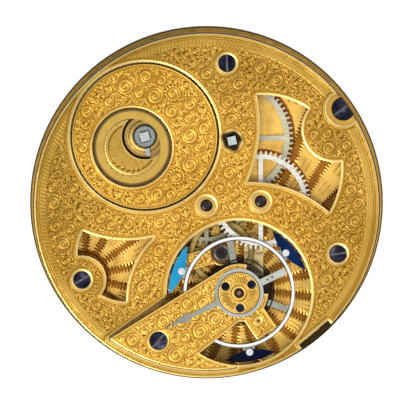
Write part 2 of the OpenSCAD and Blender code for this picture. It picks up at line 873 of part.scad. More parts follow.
module stop_finger() {
    seat = winding_square + 0.3;
    half_w = finger_w / 2;
    color(STEEL)
        at(BARREL, finger_z)
            difference() {
                linear_extrude(finger_h) {
                    circle(r = finger_collar_r);
                    rotate(finger_angle)
                        polygon([
                            [0, -half_w], [finger_reach - half_w, -half_w], [finger_reach, 0],
                            [finger_reach - half_w / 2, half_w], [0, half_w]
                        ]);
                }
                rotate(square_angle) {
                    square_rod(winding_square, -eps, finger_h);
                    // sunk seat round the square
                    square_rod(seat, finger_h / 2, finger_h + eps);
                }
            }
}

ratchet_tooth_h = 0.42;
ratchet_pitch = 360 / ratchet_teeth;

// saw teeth: a steep face just after each tip, then a slope up to the next
function ratchet_points() = [
    for (i = [0 : ratchet_teeth - 1], p = [[ratchet_r, 0], [ratchet_r - ratchet_tooth_h, 0.06]])
        polar(p[0], (i + p[1]) * ratchet_pitch)
];

module ratchet_wheel() {
    color(STEEL)
        at(BARREL, ratchet_z)
            linear_extrude(ratchet_h)
                difference() {
                    polygon(ratchet_points());
                    rotate(square_angle)
                        square(ratchet_square, center = true);
                }
}

module ratchet_screw() {
    color(BLUED)
        at(BARREL, ratchet_z)
            rotate([180, 0, 0])
                difference() {
                    rod(1.15, 0, 0.25);
                    translate([-2, -slot_w / 2, 0.1])
                        cube([4, slot_w, 0.3]);
                }
}

click_screw_r = 0.4;
click_hub_r = 0.85;
click_pin_r = 0.25;
click_fit = 0.06;
// the beak stands square to the steep face of the tooth at this angle
click_tooth_angle = 13 * ratchet_pitch;
click_dir = click_tooth_angle - 90 + 1.4;
// the barrel axis in the click's own frame, x along the click
CLICK_BARREL = turned(BARREL - CLICK_PIVOT, -click_dir);
CLICK_SPRING_FOOT = CLICK_PIVOT + turned([-1.5, 1.6], click_dir);

function turned(p, a) = [p[0] * cos(a) - p[1] * sin(a), p[0] * sin(a) + p[1] * cos(a)];

module click() {
    face_x = CLICK_BARREL[0] - click_fit;
    root_y = CLICK_BARREL[1] + ratchet_r - ratchet_tooth_h + click_fit;
    tip_y = CLICK_BARREL[1] + ratchet_r + click_fit;
    color(STEEL)
        at(CLICK_PIVOT, ratchet_z)
            linear_extrude(ratchet_h)
                difference() {
                    union() {
                        circle(r = click_hub_r);
                        rotate(click_dir)
                            polygon([
                                [0, -0.6], [face_x - 2.6, tip_y - 0.75], [face_x - 1.5, tip_y - 0.12],
                                [face_x - 0.7, tip_y], [face_x, root_y], [face_x, root_y + 0.4],
                                [face_x - 0.5, tip_y + 0.35], [0, 0.75]
                            ]);
                    }
                    circle(r = click_screw_r + run_fit);
                }
}

module click_screw() {
    color(BLUED)
        at(CLICK_PIVOT, ratchet_z - end_shake)
            rotate([180, 0, 0])
                slotted_screw_up(0.75, 0.25, click_screw_r, ratchet_h + 1);
}

// screw seen from the dial side: its head stands on z = 0 and its shank goes down
module slotted_screw_up(head_r, head_h, shank_r, length) {
    translate([0, 0, head_h])
        slotted_screw(head_r, head_h, shank_r, head_h + length, 30);
}

module click_spring() {
    blade = 0.16;
    press = CLICK_PIVOT + turned([CLICK_BARREL[0] - 1.2, 0.85], click_dir);
    color(GREY_STEEL)
        at(CLICK_SPRING_FOOT) {
            rod(click_pin_r, ratchet_z, web_top);
            translate([0, 0, ratchet_z])
                linear_extrude(ratchet_h) {
                    circle(r = 0.6);
                    rotate(heading(CLICK_SPRING_FOOT, press))
                        translate([0, -blade / 2])
                            square([span(CLICK_SPRING_FOOT, press), blade]);
                }
        }
}

// train

centre_pipe_r = 0.85;
setting_sink_r = 1.15;
setting_rod_r = 0.5;
centre_top_z = top_plate_z + 0.5;

module centre_wheel() {
    color(STEEL)
        at(CENTRE, centre_wheel_z)
            crossed_wheel(centre_teeth, m_centre, wheel_h, 5, 0.75, 1.7, 0.7, centre_pipe_r);
}

module centre_pinion() {
    leaf_z = barrel_z - 0.1;
    color(STEEL)
        difference() {
            at(CENTRE) {
                rod(centre_pipe_r, recess_depth + end_shake, centre_top_z - end_shake);
                rod(centre_pipe_r + 0.4, web_top + end_shake, centre_wheel_z);
                translate([0, 0, leaf_z])
                    pinion_leaves(centre_leaves, m_barrel, barrel_tooth_h + 0.25, phase_centre);
            }
            at(CENTRE)
                bore(setting_rod_r + run_fit, recess_depth, centre_top_z);
        }
}

module setting_arbor() {
    color(GREY_STEEL)
        at(CENTRE) {
            rod(setting_rod_r, motion_z, centre_top_z);
            rod(setting_square * 0.7, centre_top_z, centre_top_z + 0.2);
            rotate(12)
                square_rod(setting_square, centre_top_z + 0.1, square_top_z);
        }
}

module driving_pinion() {
    color(STEEL)
        at(CENTRE, motion_z)
            difference() {
                linear_extrude(motion_h)
                    wheel_outline(cannon_teeth, m_minute);
                bore(setting_rod_r, 0, motion_h);
            }
}

module third_wheel() {
    color(STEEL)
        at(THIRD, third_wheel_z)
            crossed_wheel(third_teeth, m_third, wheel_h, 4, 0.6, 1.3, 0.6, arbor_r);
}

module third_pinion() {
    color(STEEL)
        at(THIRD) {
            arbor(web_top + end_shake, top_plate_z - end_shake, arbor_r, pivot_len, pivot_len);
            translate([0, 0, centre_wheel_z - 0.15])
                pinion_leaves(third_leaves, m_centre, wheel_h + 0.3, phase_third);
            rod(0.75, third_wheel_z - 0.25, third_wheel_z);
        }
}

module fourth_wheel() {
    color(STEEL)
        at(SECONDS, fourth_wheel_z)
            crossed_wheel(fourth_teeth, m_fourth, wheel_h, 4, 0.55, 1.2, 0.55, arbor_r);
}

module seconds_arbor() {
    color(STEEL)
        at(SECONDS) {
            rod(seconds_post_r, minute_pipe_z - seat_step, web_top + end_shake);
            rod(seconds_seat_r, seconds_post_z, minute_pipe_z);
            arbor(web_top + end_shake, top_plate_z - end_shake, arbor_r, 0, pivot_len);
            translate([0, 0, third_wheel_z - 0.2])
                pinion_leaves(seconds_leaves, m_third, wheel_h + 0.4, phase_seconds);
            rod(0.75, fourth_wheel_z - 0.25, fourth_wheel_z);
        }
}

escape_tip_gap = 0.06;
escape_teeth = 15;
escape_tip_r = span(ESCAPE, BALANCE) - roller_r - escape_tip_gap;
escape_rim_r = 4.25;

// the wheel stands with a long tooth on the roller, midway between two upright teeth
escape_phase = heading(ESCAPE, BALANCE);

function escape_points() = [
    for (i = [0 : escape_teeth - 1], p = [
        [escape_rim_r, -5], [escape_tip_r - 0.45, -2], [escape_tip_r, -1.6], [escape_tip_r, -0.9],
        [escape_tip_r - 0.3, 0], [escape_tip_r, 0.9], [escape_tip_r, 1.6], [escape_rim_r, 4]
    ]) polar(p[0], p[1] + i * 360 / escape_teeth)
];

module escape_wheel() {
    rim_in = escape_rim_r - 0.75;
    color(BRASS)
        at(ESCAPE, escape_wheel_z)
            rotate(escape_phase) {
                linear_extrude(escape_wheel_h)
                    difference() {
                        polygon(escape_points());
                        difference() {
                            circle(r = rim_in);
                            circle(r = 1);
                            for (i = [0 : 2])
                                rotate(i * 120)
                                    translate([0, -0.25])
                                        square([escape_rim_r, 0.5]);
                        }
                        circle(r = arbor_r);
                    }
                // upright impulse teeth
                for (i = [0 : escape_teeth - 1])
                    rotate((i + 0.5) * 360 / escape_teeth)
                        translate([escape_rim_r - 0.45, 0, escape_wheel_h - eps])
                            linear_extrude(upright_h + eps)
                                polygon([[0, -0.16], [0.4, -0.06], [0.4, 0.06], [0, 0.16]]);
            }
}

module escape_pinion() {
    color(STEEL)
        at(ESCAPE) {
            arbor(web_top + end_shake, bridge_z - end_shake, arbor_r, pivot_len, bridge_h);
            translate([0, 0, fourth_wheel_z - 0.12])
                pinion_leaves(escape_leaves, m_fourth, wheel_h + 0.24, phase_escape);
        }
}

bridge_foot_r = 1.3;
bridge_boss_r = 1.65;
bridge_arm_w = 2.1;
bridge_screw_r = 0.35;
bridge_screw_head_r = 0.75;
escape_jewel_r = 0.85;

module escape_bridge() {
    arm = span(BRIDGE_FOOT, ESCAPE);
    color(COCK_GILT)
        difference() {
            union() {
                at(BRIDGE_FOOT)
                    rod(bridge_foot_r, web_top, bridge_top_z);
                at(ESCAPE)
                    rod(bridge_boss_r, bridge_z, bridge_top_z);
                at(BRIDGE_FOOT, bridge_z)
                    rotate(heading(BRIDGE_FOOT, ESCAPE))
                        translate([0, -bridge_arm_w / 2, 0])
                            cube([arm, bridge_arm_w, bridge_h]);
            }
            at(ESCAPE)
                bore(escape_jewel_r, bridge_z, bridge_top_z);
            at(BRIDGE_FOOT) {
                bore(bridge_screw_r + screw_fit, web_top, bridge_top_z);
                bore(bridge_screw_head_r + screw_fit, bridge_top_z - 0.35, bridge_top_z);
            }
        }
}

module escape_bridge_screw() {
    color(BLUED)
        at(BRIDGE_FOOT, bridge_top_z)
            slotted_screw(bridge_screw_head_r, 0.35, bridge_screw_r, bridge_top_z - web_top + 0.7, 60);
}

// ring jewel with an oil cup on its outer side
module ring_jewel(r, hole, z0, z1, cup_up) {
    cup = (z1 - z0) / 2;
    color(RUBY)
        difference() {
            rod(r, z0, z1);
            bore(hole, z0, z1);
            if (cup_up)
                bore(r * 0.55, z1 - cup, z1);
            else
                bore(r * 0.55, z0, z0 + cup);
        }
}

module escape_jewel() {
    at(ESCAPE)
        ring_jewel(escape_jewel_r, pivot_r + run_fit, bridge_z, bridge_top_z, true);
}

// balance

staff_pivot_r = 0.14;
lower_jewel_r = 0.7;
upper_jewel_r = 0.62;
lower_cap_r = 1.6;
lower_cap_h = 0.35;
lower_cap_angle = 25;
lower_cap_screw_circle = 2.1;
lower_cap_screw_r = 0.3;
roller_z = escape_wheel_z - 0.06;
roller_top_z = escape_wheel_z + escape_wheel_h + 0.02;

// plan of one third of the balance between two radii, half_angle to each side
module sector(inner, outer, half_angle) {
    far = 2 * outer;
    difference() {
        intersection() {
            circle(r = outer);
            polygon([[0, 0], polar(far, -half_angle), [far, 0], polar(far, half_angle)]);
        }
        circle(r = inner);
    }
}

// lug that carries a wing, with a round bite out of each side
module wing_lug() {
    difference() {
        sector(rim_r - rim_w / 2, lug_r, lug_half_angle);
        for (s = [-1, 1])
            translate(polar(wing_inner_r, s * lug_half_angle))
                circle(r = lug_bite_r);
    }
}

module balance_wheel() {
    color(STEEL)
        at(BALANCE, balance_z)
            difference() {
                union() {
                    linear_extrude(rim_h)
                        difference() {
                            circle(r = rim_r);
                            circle(r = rim_r - rim_w);
                        }
                    linear_extrude(rim_h * 0.6) {
                        circle(r = 1.15);
                        for (i = [0 : 2])
                            rotate(arm_angle + 120 * i)
                                translate([0, -arm_w / 2])
                                    square([rim_r - rim_w / 2, arm_w]);
                    }
                    linear_extrude(rim_h - wing_h)
                        for (i = [0 : 2])
                            rotate(wing_angle + 120 * i)
                                wing_lug();
                }
                bore(staff_r, 0, rim_h);
                for (i = [0 : 2])
                    rotate(wing_angle + 120 * i)
                        translate([wing_screw_circle, 0, 0])
                            bore(wing_screw_r, 0, rim_h);
            }
}

wing_screw_circle = 7.96;
wing_screw_r = 0.22;
wing_screw_head_r = 0.46;
wing_tongue_r = 0.6;
lug_bite_r = 0.36;

module balance_wings() {
    color(BLUED)
        at(BALANCE, wing_z)
            for (i = [0 : 2])
                rotate(wing_angle + 120 * i)
                    linear_extrude(wing_h)
                        difference() {
                            union() {
                                sector(wing_inner_r, wing_r, wing_half_angle);
                                // tongue that the screw holds
                                translate([wing_screw_circle, 0])
                                    circle(r = wing_tongue_r);
                            }
                            circle(r = rim_r + run_fit);
                            translate([wing_screw_circle, 0])
                                circle(r = wing_screw_r);
                        }
}

module wing_screws() {
    head_h = 0.2;
    color(STEEL)
        at(BALANCE, balance_z + rim_h + head_h)
            for (i = [0 : 2])
                rotate(wing_angle + 120 * i)
                    translate([wing_screw_circle, 0, 0])
                        difference() {
                            union() {
                                rod(wing_screw_head_r, -head_h, 0);
                                rod(wing_screw_r, -head_h - rim_h, -head_h + eps);
                            }
                            translate([-1, -0.06, -0.1])
                                cube([2, 0.12, 0.2]);
                        }
}

staff_low_z = web_top + 0.15;
staff_high_z = cock_z - 0.1;

module balance_staff() {
    color(STEEL)
        at(BALANCE) {
            rod(staff_pivot_r, recess_depth + end_shake, staff_low_z + eps);
            rod(staff_r * 0.62, staff_low_z, balance_z);
            rod(staff_r, roller_top_z + upright_h, staff_high_z);
            rod(0.85, balance_z - 0.25, balance_z);
            rod(staff_pivot_r, staff_high_z - eps, cock_top_z - end_shake);
        }
}

module duplex_roller() {
    // slender ruby tube with the passing notch
    color(RUBY)
        at(BALANCE)
            difference() {
                rod(roller_r, roller_z, roller_top_z);
                bore(staff_r * 0.62, roller_z, roller_top_z);
                rotate(escape_phase + 130)
                    translate([roller_r, 0, 0])
                        bore(0.055, roller_z, roller_top_z);
            }
}

module impulse_finger() {
    z = roller_top_z + 0.04;
    color(STEEL)
        at(BALANCE, z)
            linear_extrude(upright_h - 0.06)
                difference() {
                    union() {
                        circle(r = 0.55);
                        rotate(escape_phase)
                            polygon([[0, -0.3], [impulse_reach, -0.1], [impulse_reach, 0.12], [0, 0.3]]);
                    }
                    circle(r = staff_r * 0.62);
                }
}

module hairspring_collet() {
    color(BRASS)
        at(BALANCE)
            difference() {
                rod(collet_r, hairspring_z - 0.1, hairspring_z + hairspring_h + 0.05);
                bore(staff_r, hairspring_z - 0.1, hairspring_z + hairspring_h + 0.05);
            }
}

module hairspring() {
    color(BLUED)
        at(BALANCE, hairspring_z)
            linear_extrude(hairspring_h)
                polygon(band(hairspring_path, hairspring_t));
}

stud_r = 0.42;

module hairspring_stud() {
    // hangs from the stud arm, slit for the end of the spring
    color(STEEL)
        at(BALANCE + polar(hairspring_r, stud_angle))
            difference() {
                rod(stud_r, hairspring_z - 0.1, cock_top_z);
                rotate(stud_angle)
                    translate([-hairspring_t / 2 - 0.03, -1, hairspring_z - 0.2])
                        cube([hairspring_t + 0.06, 2, hairspring_h + 0.3]);
            }
}

module balance_cock() {
    color(COCK_GILT)
        difference() {
            union() {
                translate([0, 0, cock_z])
                    linear_extrude(cock_h)
                        cock_outline();
                at(COCK_SCREW)
                    rod(cock_foot_post_r, web_top, cock_z + eps);
            }
            at(COCK_SCREW) {
                bore(screw_r + screw_fit, web_top, cock_top_z);
                bore(cock_screw_head_r + screw_fit, cock_top_z - screw_head_h, cock_top_z);
            }
            at(BALANCE)
                bore(upper_jewel_r, cock_z, cock_top_z);
            at(BALANCE + polar(hairspring_r, stud_angle))
                bore(stud_r, cock_z, cock_top_z);
            for (i = [0 : 2])
                at(BALANCE + polar(endpiece_screw_circle, endpiece_screw_angle + 120 * i))
                    bore(endpiece_screw_r, cock_z, cock_top_z);
        }
}

module cock_screw() {
    color(BLUED)
        at(COCK_SCREW, cock_top_z)
            slotted_screw(cock_screw_head_r, screw_head_h, screw_r, cock_top_z - web_top + 0.7, 50);
}

module cock_jewel() {
    at(BALANCE)
        ring_jewel(upper_jewel_r, staff_pivot_r + run_fit, cock_z, cock_top_z, false);
}

endpiece_screw_circle = 1.97;
endpiece_screw_r = 0.24;
endpiece_screw_head_r = 0.54;
endpiece_screw_angle = 34;

module cock_endpiece() {
    bevel = 0.12;
    top_z = cock_top_z + endpiece_h;
    color(COCK_GILT)
        at(BALANCE)
            difference() {
                rotate_extrude()
                    polygon([
                        [0, cock_top_z], [endpiece_r, cock_top_z], [endpiece_r, top_z - bevel],
                        [endpiece_r - bevel, top_z], [0, top_z]
                    ]);
                // cup for the cap stone
                bore(upper_jewel_r, cock_top_z + endpiece_h - 0.2, cock_top_z + endpiece_h);
                for (i = [0 : 2])
                    at(polar(endpiece_screw_circle, endpiece_screw_angle + 120 * i)) {
                        bore(endpiece_screw_r, cock_top_z, cock_top_z + endpiece_h);
                        bore(endpiece_screw_head_r + 0.05, cock_top_z + 0.2, cock_top_z + endpiece_h);
                    }
            }
}

module endpiece_screws() {
    color(BLUED)
        at(BALANCE, cock_top_z + endpiece_h - 0.04)
            for (i = [0 : 2])
                at(polar(endpiece_screw_circle, endpiece_screw_angle + 120 * i))
                    slotted_small(endpiece_screw_head_r, endpiece_h - 0.24, endpiece_screw_r, 1, 20 + 60 * i);
}

module slotted_small(head_r, head_h, shank_r, length, slot_angle) {
    difference() {
        union() {
            rod(head_r, -head_h, 0);
            rod(shank_r, -length, -head_h + eps);
        }
        rotate(slot_angle)
            translate([-2, -0.07, -0.09])
                cube([4, 0.14, 0.2]);
    }
}

module cap_stone() {
    color(RUBY)
        at(BALANCE)
            rod(upper_jewel_r, cock_top_z + endpiece_h - 0.2 - eps, cock_top_z + endpiece_h + 0.06);
}

module lower_balance_jewel() {
    at(BALANCE)
        ring_jewel(lower_jewel_r, staff_pivot_r + run_fit, recess_depth, web_top, true);
}

module lower_endpiece() {
    lug = 0.62;
    color(STEEL)
        at(BALANCE, recess_depth - lower_cap_h)
            rotate(lower_cap_angle)
                linear_extrude(lower_cap_h)
                    difference() {
                        union() {
                            circle(r = lower_cap_r);
                            for (s = [-1, 1])
                                translate([s * lower_cap_screw_circle, 0])
                                    circle(r = lug);
                        }
                        for (s = [-1, 1])
                            translate([s * lower_cap_screw_circle, 0])
                                circle(r = lower_cap_screw_r);
                    }
}

module lower_endpiece_screws() {
    color(BLUED)
        at(BALANCE, recess_depth - lower_cap_h)
            for (s = [-1, 1])
                at(polar(lower_cap_screw_circle, lower_cap_angle + 90 + 90 * s))
                    rotate([180, 0, 0])
                        slotted_screw_up(0.5, 0.25, lower_cap_screw_r, lower_cap_h + 0.7);
}

// regulator

module regulator() {
    leaf = pointer_reach - 2.9;
    curb_angle = pointer_angle - 180;
    color(GREY_STEEL)
        at(BALANCE) {
            translate([0, 0, cock_top_z + run_fit])
                linear_extrude(regulator_h)
                    difference() {
                        union() {
                            circle(r = regulator_r);
                            rotate(curb_angle)
                                translate([0, -tail_w / 2])
                                    square([tail_reach, tail_w]);
                            rotate(pointer_angle)
                                polygon([
                                    [0, -0.55], [regulator_r + 0.6, -0.36], [leaf - 0.9, -0.24],
                                    [leaf - 0.2, -0.58], [leaf + 0.7, -0.3], [pointer_reach, 0],
                                    [leaf + 0.7, 0.3], [leaf - 0.2, 0.58], [leaf - 0.9, 0.24],
                                    [regulator_r + 0.6, 0.36], [0, 0.55]
                                ]);
                        }
                        circle(r = endpiece_r + run_fit);
                    }
            // curb pins on either side of the outer coil
            for (s = [-1, 1])
                at(polar(hairspring_r + s * (hairspring_t / 2 + 0.14), curb_angle))
                    rod(0.08, hairspring_z - 0.05, cock_top_z + 0.1);
        }
}

// motion work on the dial side

minute_stud_r = 0.4;

module cannon_pinion() {
    color(STEEL)
        difference() {
            union() {
                translate([0, 0, motion_z])
                    rotate(phase_cannon)
                        linear_extrude(motion_h)
                            wheel_outline(cannon_teeth, m_minute);
                rod(minute_pipe_r, hour_pipe_z - seat_step, motion_z + motion_h + 0.1);
                rod(minute_seat_r, minute_pipe_z, hour_pipe_z);
            }
            bore(seconds_post_r + run_fit, minute_pipe_z, motion_z + motion_h + 0.2);
        }
}

module hour_wheel() {
    color(BRASS)
        difference() {
            union() {
                translate([0, 0, hour_wheel_z])
                    rotate(phase_hour)
                        linear_extrude(motion_h)
                            wheel_outline(hour_teeth, m_hour);
                rod(hour_pipe_r, hour_pipe_z, hour_wheel_z + motion_h);
            }
            bore(minute_pipe_r + run_fit, hour_pipe_z, hour_wheel_z + motion_h);
        }
}

module minute_wheel() {
    color(BRASS)
        at(MINUTE)
            difference() {
                union() {
                    translate([0, 0, motion_z])
                        rotate(phase_minute)
                            linear_extrude(motion_h)
                                wheel_outline(minute_teeth, m_minute);
                    translate([0, 0, hour_wheel_z])
                        pinion_leaves(minute_leaves, m_hour, motion_z - hour_wheel_z + eps, 0);
                }
                bore(minute_stud_r * 0.7 + run_fit, hour_wheel_z, motion_z + motion_h);
            }
}

module minute_stud() {
    color(GREY_STEEL)
        at(MINUTE) {
            rod(minute_stud_r, motion_z + motion_h + end_shake, web_top);
            rod(minute_stud_r * 0.7, hour_wheel_z, motion_z + motion_h + end_shake + eps);
        }
}

// Node to draw, or all

lower_plate();
pillars();
potence();
top_plate();
plate_screws();
case_screw();
third_bush();
seconds_bush();
barrel_drum();
barrel_lid();
stop_ring();
stop_crescent();
mainspring();
barrel_arbor();
stop_finger();
ratchet_wheel();
ratchet_screw();
click();
click_screw();
click_spring();
centre_wheel();
centre_pinion();
setting_arbor();
driving_pinion();
third_wheel();
third_pinion();
fourth_wheel();
seconds_arbor();
escape_wheel();
escape_pinion();
escape_bridge();
escape_bridge_screw();
escape_jewel();
balance_wheel();
balance_wings();
wing_screws();
balance_staff();
duplex_roller();
impulse_finger();
hairspring_collet();
hairspring();
hairspring_stud();
balance_cock();
cock_screw();
cock_jewel();
cock_endpiece();
endpiece_screws();
cap_stone();
lower_balance_jewel();
lower_endpiece();
lower_endpiece_screws();
regulator();
cannon_pinion();
hour_wheel();
minute_wheel();
minute_stud();
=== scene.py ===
"""Dresses a key-wound pocket watch movement: engraved gilt plates, steel train, blued balance wings."""
import math
import random

import bmesh
import bpy
import numpy as np
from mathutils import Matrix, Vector
from mathutils.geometry import delaunay_2d_cdt


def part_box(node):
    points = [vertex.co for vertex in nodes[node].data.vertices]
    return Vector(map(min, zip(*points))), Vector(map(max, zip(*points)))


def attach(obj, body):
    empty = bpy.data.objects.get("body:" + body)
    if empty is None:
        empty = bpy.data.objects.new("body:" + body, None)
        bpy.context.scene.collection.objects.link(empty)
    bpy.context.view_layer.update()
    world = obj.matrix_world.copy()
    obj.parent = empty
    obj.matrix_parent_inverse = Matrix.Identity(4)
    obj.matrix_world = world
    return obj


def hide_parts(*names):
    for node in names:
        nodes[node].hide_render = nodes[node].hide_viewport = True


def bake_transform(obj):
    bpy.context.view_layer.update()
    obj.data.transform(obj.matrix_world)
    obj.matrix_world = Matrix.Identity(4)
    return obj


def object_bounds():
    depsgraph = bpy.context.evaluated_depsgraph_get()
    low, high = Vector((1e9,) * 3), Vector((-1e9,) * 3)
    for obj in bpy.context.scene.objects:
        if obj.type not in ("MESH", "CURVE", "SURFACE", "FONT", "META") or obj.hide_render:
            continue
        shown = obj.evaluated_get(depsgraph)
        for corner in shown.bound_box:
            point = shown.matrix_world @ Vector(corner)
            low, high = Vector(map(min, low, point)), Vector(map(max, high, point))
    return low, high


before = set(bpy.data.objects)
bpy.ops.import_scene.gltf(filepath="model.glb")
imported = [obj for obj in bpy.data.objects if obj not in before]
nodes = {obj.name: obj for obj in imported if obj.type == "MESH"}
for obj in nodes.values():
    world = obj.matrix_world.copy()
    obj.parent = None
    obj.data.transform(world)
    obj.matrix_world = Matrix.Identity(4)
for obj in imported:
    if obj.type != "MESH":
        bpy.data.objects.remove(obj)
cad_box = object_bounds()
scene = bpy.context.scene

MM = 0.001
TURN = 2 * math.pi
# In metres: vertices nearer than this are joined, and a vertex this near to a level lies on it
WELD = 2e-6
ON_LEVEL = 3e-6


# Layout, in millimetres, read from the frame

def axis(node):
    """Middle of a node, seen from above."""
    low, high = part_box(node)
    return ((low.x + high.x) / (2 * MM), (low.y + high.y) / (2 * MM))


def half_width(node):
    """Radius of a round node."""
    low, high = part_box(node)
    return (high.x - low.x) / (2 * MM)


def top(node):
    """Height of a node's highest point."""
    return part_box(node)[1].z / MM


BARREL = axis("barrel_lid")
LID_R = half_width("barrel_lid")
STOP_CENTRE = axis("stop_ring")
RING_R = half_width("stop_ring")
CENTRE = axis("centre_pinion")
THIRD = axis("third_bush")
SECONDS = axis("seconds_bush")
ESCAPE = axis("escape_jewel")
BALANCE = axis("cap_stone")
STUD = axis("hairspring_stud")
PLATE_TOP = top("top_plate")
COCK_TOP = top("balance_cock")
LOWER_TOP = top("lower_plate")
BRIDGE_TOP = top("escape_bridge")
ENDPIECE_TOP = top("cock_endpiece")
REGULATOR_TOP = top("regulator")
SETTING_TOP = top("setting_arbor")
STOP_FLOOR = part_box("stop_ring")[0].z / MM
ENDPIECE_R = half_width("cock_endpiece")

# Layout that the frame doesn't give, in millimetres and degrees
RECESS_R = 5.23  # just inside the recess of the stop ring in the barrel lid
FAN_PILLAR = (-16.24, -9.72)  # pillar in the left window, where its rays meet
NOTCH_ANGLE = -50  # middle of the notch in the top plate's rim
NOTCH_HALF_ANGLE = 11
COCK_GAP = ((-12.74, -17.33), (-5.18, -12.01))  # ends of the gap along the cock
FLANGE_R = 22  # the lower plate's flange begins here
FLANGE_LOW = 1.1  # and its upper face lies above this
PLATE_RIM_R = 22.5  # the top plate is painted black as shade beyond this
CURB_ANGLE = 25.5  # direction of the regulator's tail

# Photograph's frame: 410 x 406 pixels of PIXEL millimetres each
PIXEL = 0.1304
FRAME_WIDTH_PX = 410
CAMERA_TILT = math.radians(3.7)
CAMERA_DISTANCE = 0.6  # metres
CAMERA_AIM = (-0.196, 0.326, PLATE_TOP)  # millimetres


# Materials

def new_material(name):
    material = bpy.data.materials.new(name)
    material.use_nodes = True
    tree = material.node_tree
    tree.nodes.clear()
    out = tree.nodes.new("ShaderNodeOutputMaterial")
    shader = tree.nodes.new("ShaderNodeBsdfPrincipled")
    tree.links.new(shader.outputs[0], out.inputs["Surface"])
    return material, tree, shader


def noise(tree, scale, detail=3.0, stretch=None):
    """A noise texture in object space; scale is in cycles per metre."""
    coords = tree.nodes.new("ShaderNodeTexCoord")
    texture = tree.nodes.new("ShaderNodeTexNoise")
    texture.inputs["Scale"].default_value = scale
    texture.inputs["Detail"].default_value = detail
    if stretch:
        mapping = tree.nodes.new("ShaderNodeMapping")
        mapping.inputs["Scale"].default_value = stretch
        tree.links.new(coords.outputs["Object"], mapping.inputs["Vector"])
        tree.links.new(mapping.outputs[0], texture.inputs["Vector"])
    else:
        tree.links.new(coords.outputs["Object"], texture.inputs["Vector"])
    return texture.outputs["Fac"]


def along(tree, direction):
    """Object-space distance along a direction, in metres."""
    coords = tree.nodes.new("ShaderNodeTexCoord")
    node = tree.nodes.new("ShaderNodeVectorMath")
    node.operation = "DOT_PRODUCT"
    node.inputs[1].default_value = direction
    tree.links.new(coords.outputs["Object"], node.inputs[0])
    return node.outputs["Value"]


def across(tree):
    return along(tree, (1, 0, 0))


def up(tree):
    return along(tree, (0, 0, 1))


def radius(tree, centre):
    """Object-space distance from an upright axis, in metres."""
    coords = tree.nodes.new("ShaderNodeTexCoord")
    shift, flat, length = (tree.nodes.new("ShaderNodeVectorMath") for _ in range(3))
    shift.operation = "SUBTRACT"
    shift.inputs[1].default_value = (centre[0] * MM, centre[1] * MM, 0)
    flat.operation = "MULTIPLY"
    flat.inputs[1].default_value = (1, 1, 0)
    length.operation = "LENGTH"
    tree.links.new(coords.outputs["Object"], shift.inputs[0])
    tree.links.new(shift.outputs[0], flat.inputs[0])
    tree.links.new(flat.outputs[0], length.inputs[0])
    return length.outputs["Value"]


def about(centre):
    """A function that gives a tree's distance from one upright axis."""
    return lambda tree: radius(tree, centre)


def ramp(tree, value, stops):
    node = tree.nodes.new("ShaderNodeValToRGB")
    elements = node.color_ramp.elements
    while len(elements) < len(stops):
        elements.new(0.5)
    for element, (place, colour) in zip(elements, stops):
        element.position = place
        element.color = (*colour, 1)
    tree.links.new(value, node.inputs["Fac"])
    return node.outputs["Color"]


def remap(tree, value, low, high, from_low=0.3, from_high=0.7):
    node = tree.nodes.new("ShaderNodeMapRange")
    node.inputs["From Min"].default_value = from_low
    node.inputs["From Max"].default_value = from_high
    node.inputs["To Min"].default_value = low
    node.inputs["To Max"].default_value = high
    tree.links.new(value, node.inputs["Value"])
    return node.outputs["Result"]


def mix(tree, factor, a, b, mode="MIX"):
    node = tree.nodes.new("ShaderNodeMix")
    node.data_type = "RGBA"
    node.blend_type = mode
    for socket, value in ((node.inputs[0], factor), (node.inputs[6], a), (node.inputs[7], b)):
        if isinstance(value, (float, int)):
            socket.default_value = value
        elif isinstance(value, tuple):
            socket.default_value = (*value, 1)
        else:
            tree.links.new(value, socket)
    return node.outputs[2]


def bump(tree, shader, height, strength, distance):
    node = tree.nodes.new("ShaderNodeBump")
    node.inputs["Strength"].default_value = strength
    node.inputs["Distance"].default_value = distance
    tree.links.new(height, node.inputs["Height"])
    tree.links.new(node.outputs[0], shader.inputs["Normal"])


def attribute(tree, name):
    node = tree.nodes.new("ShaderNodeAttribute")
    node.attribute_name = name
    return node.outputs["Fac"]


# Black of painted shade on walls, in gaps and at edges, and of dirt round the setting square
SHADE_AND_DIRT_BLACK = (0.016, 0.011, 0.005)


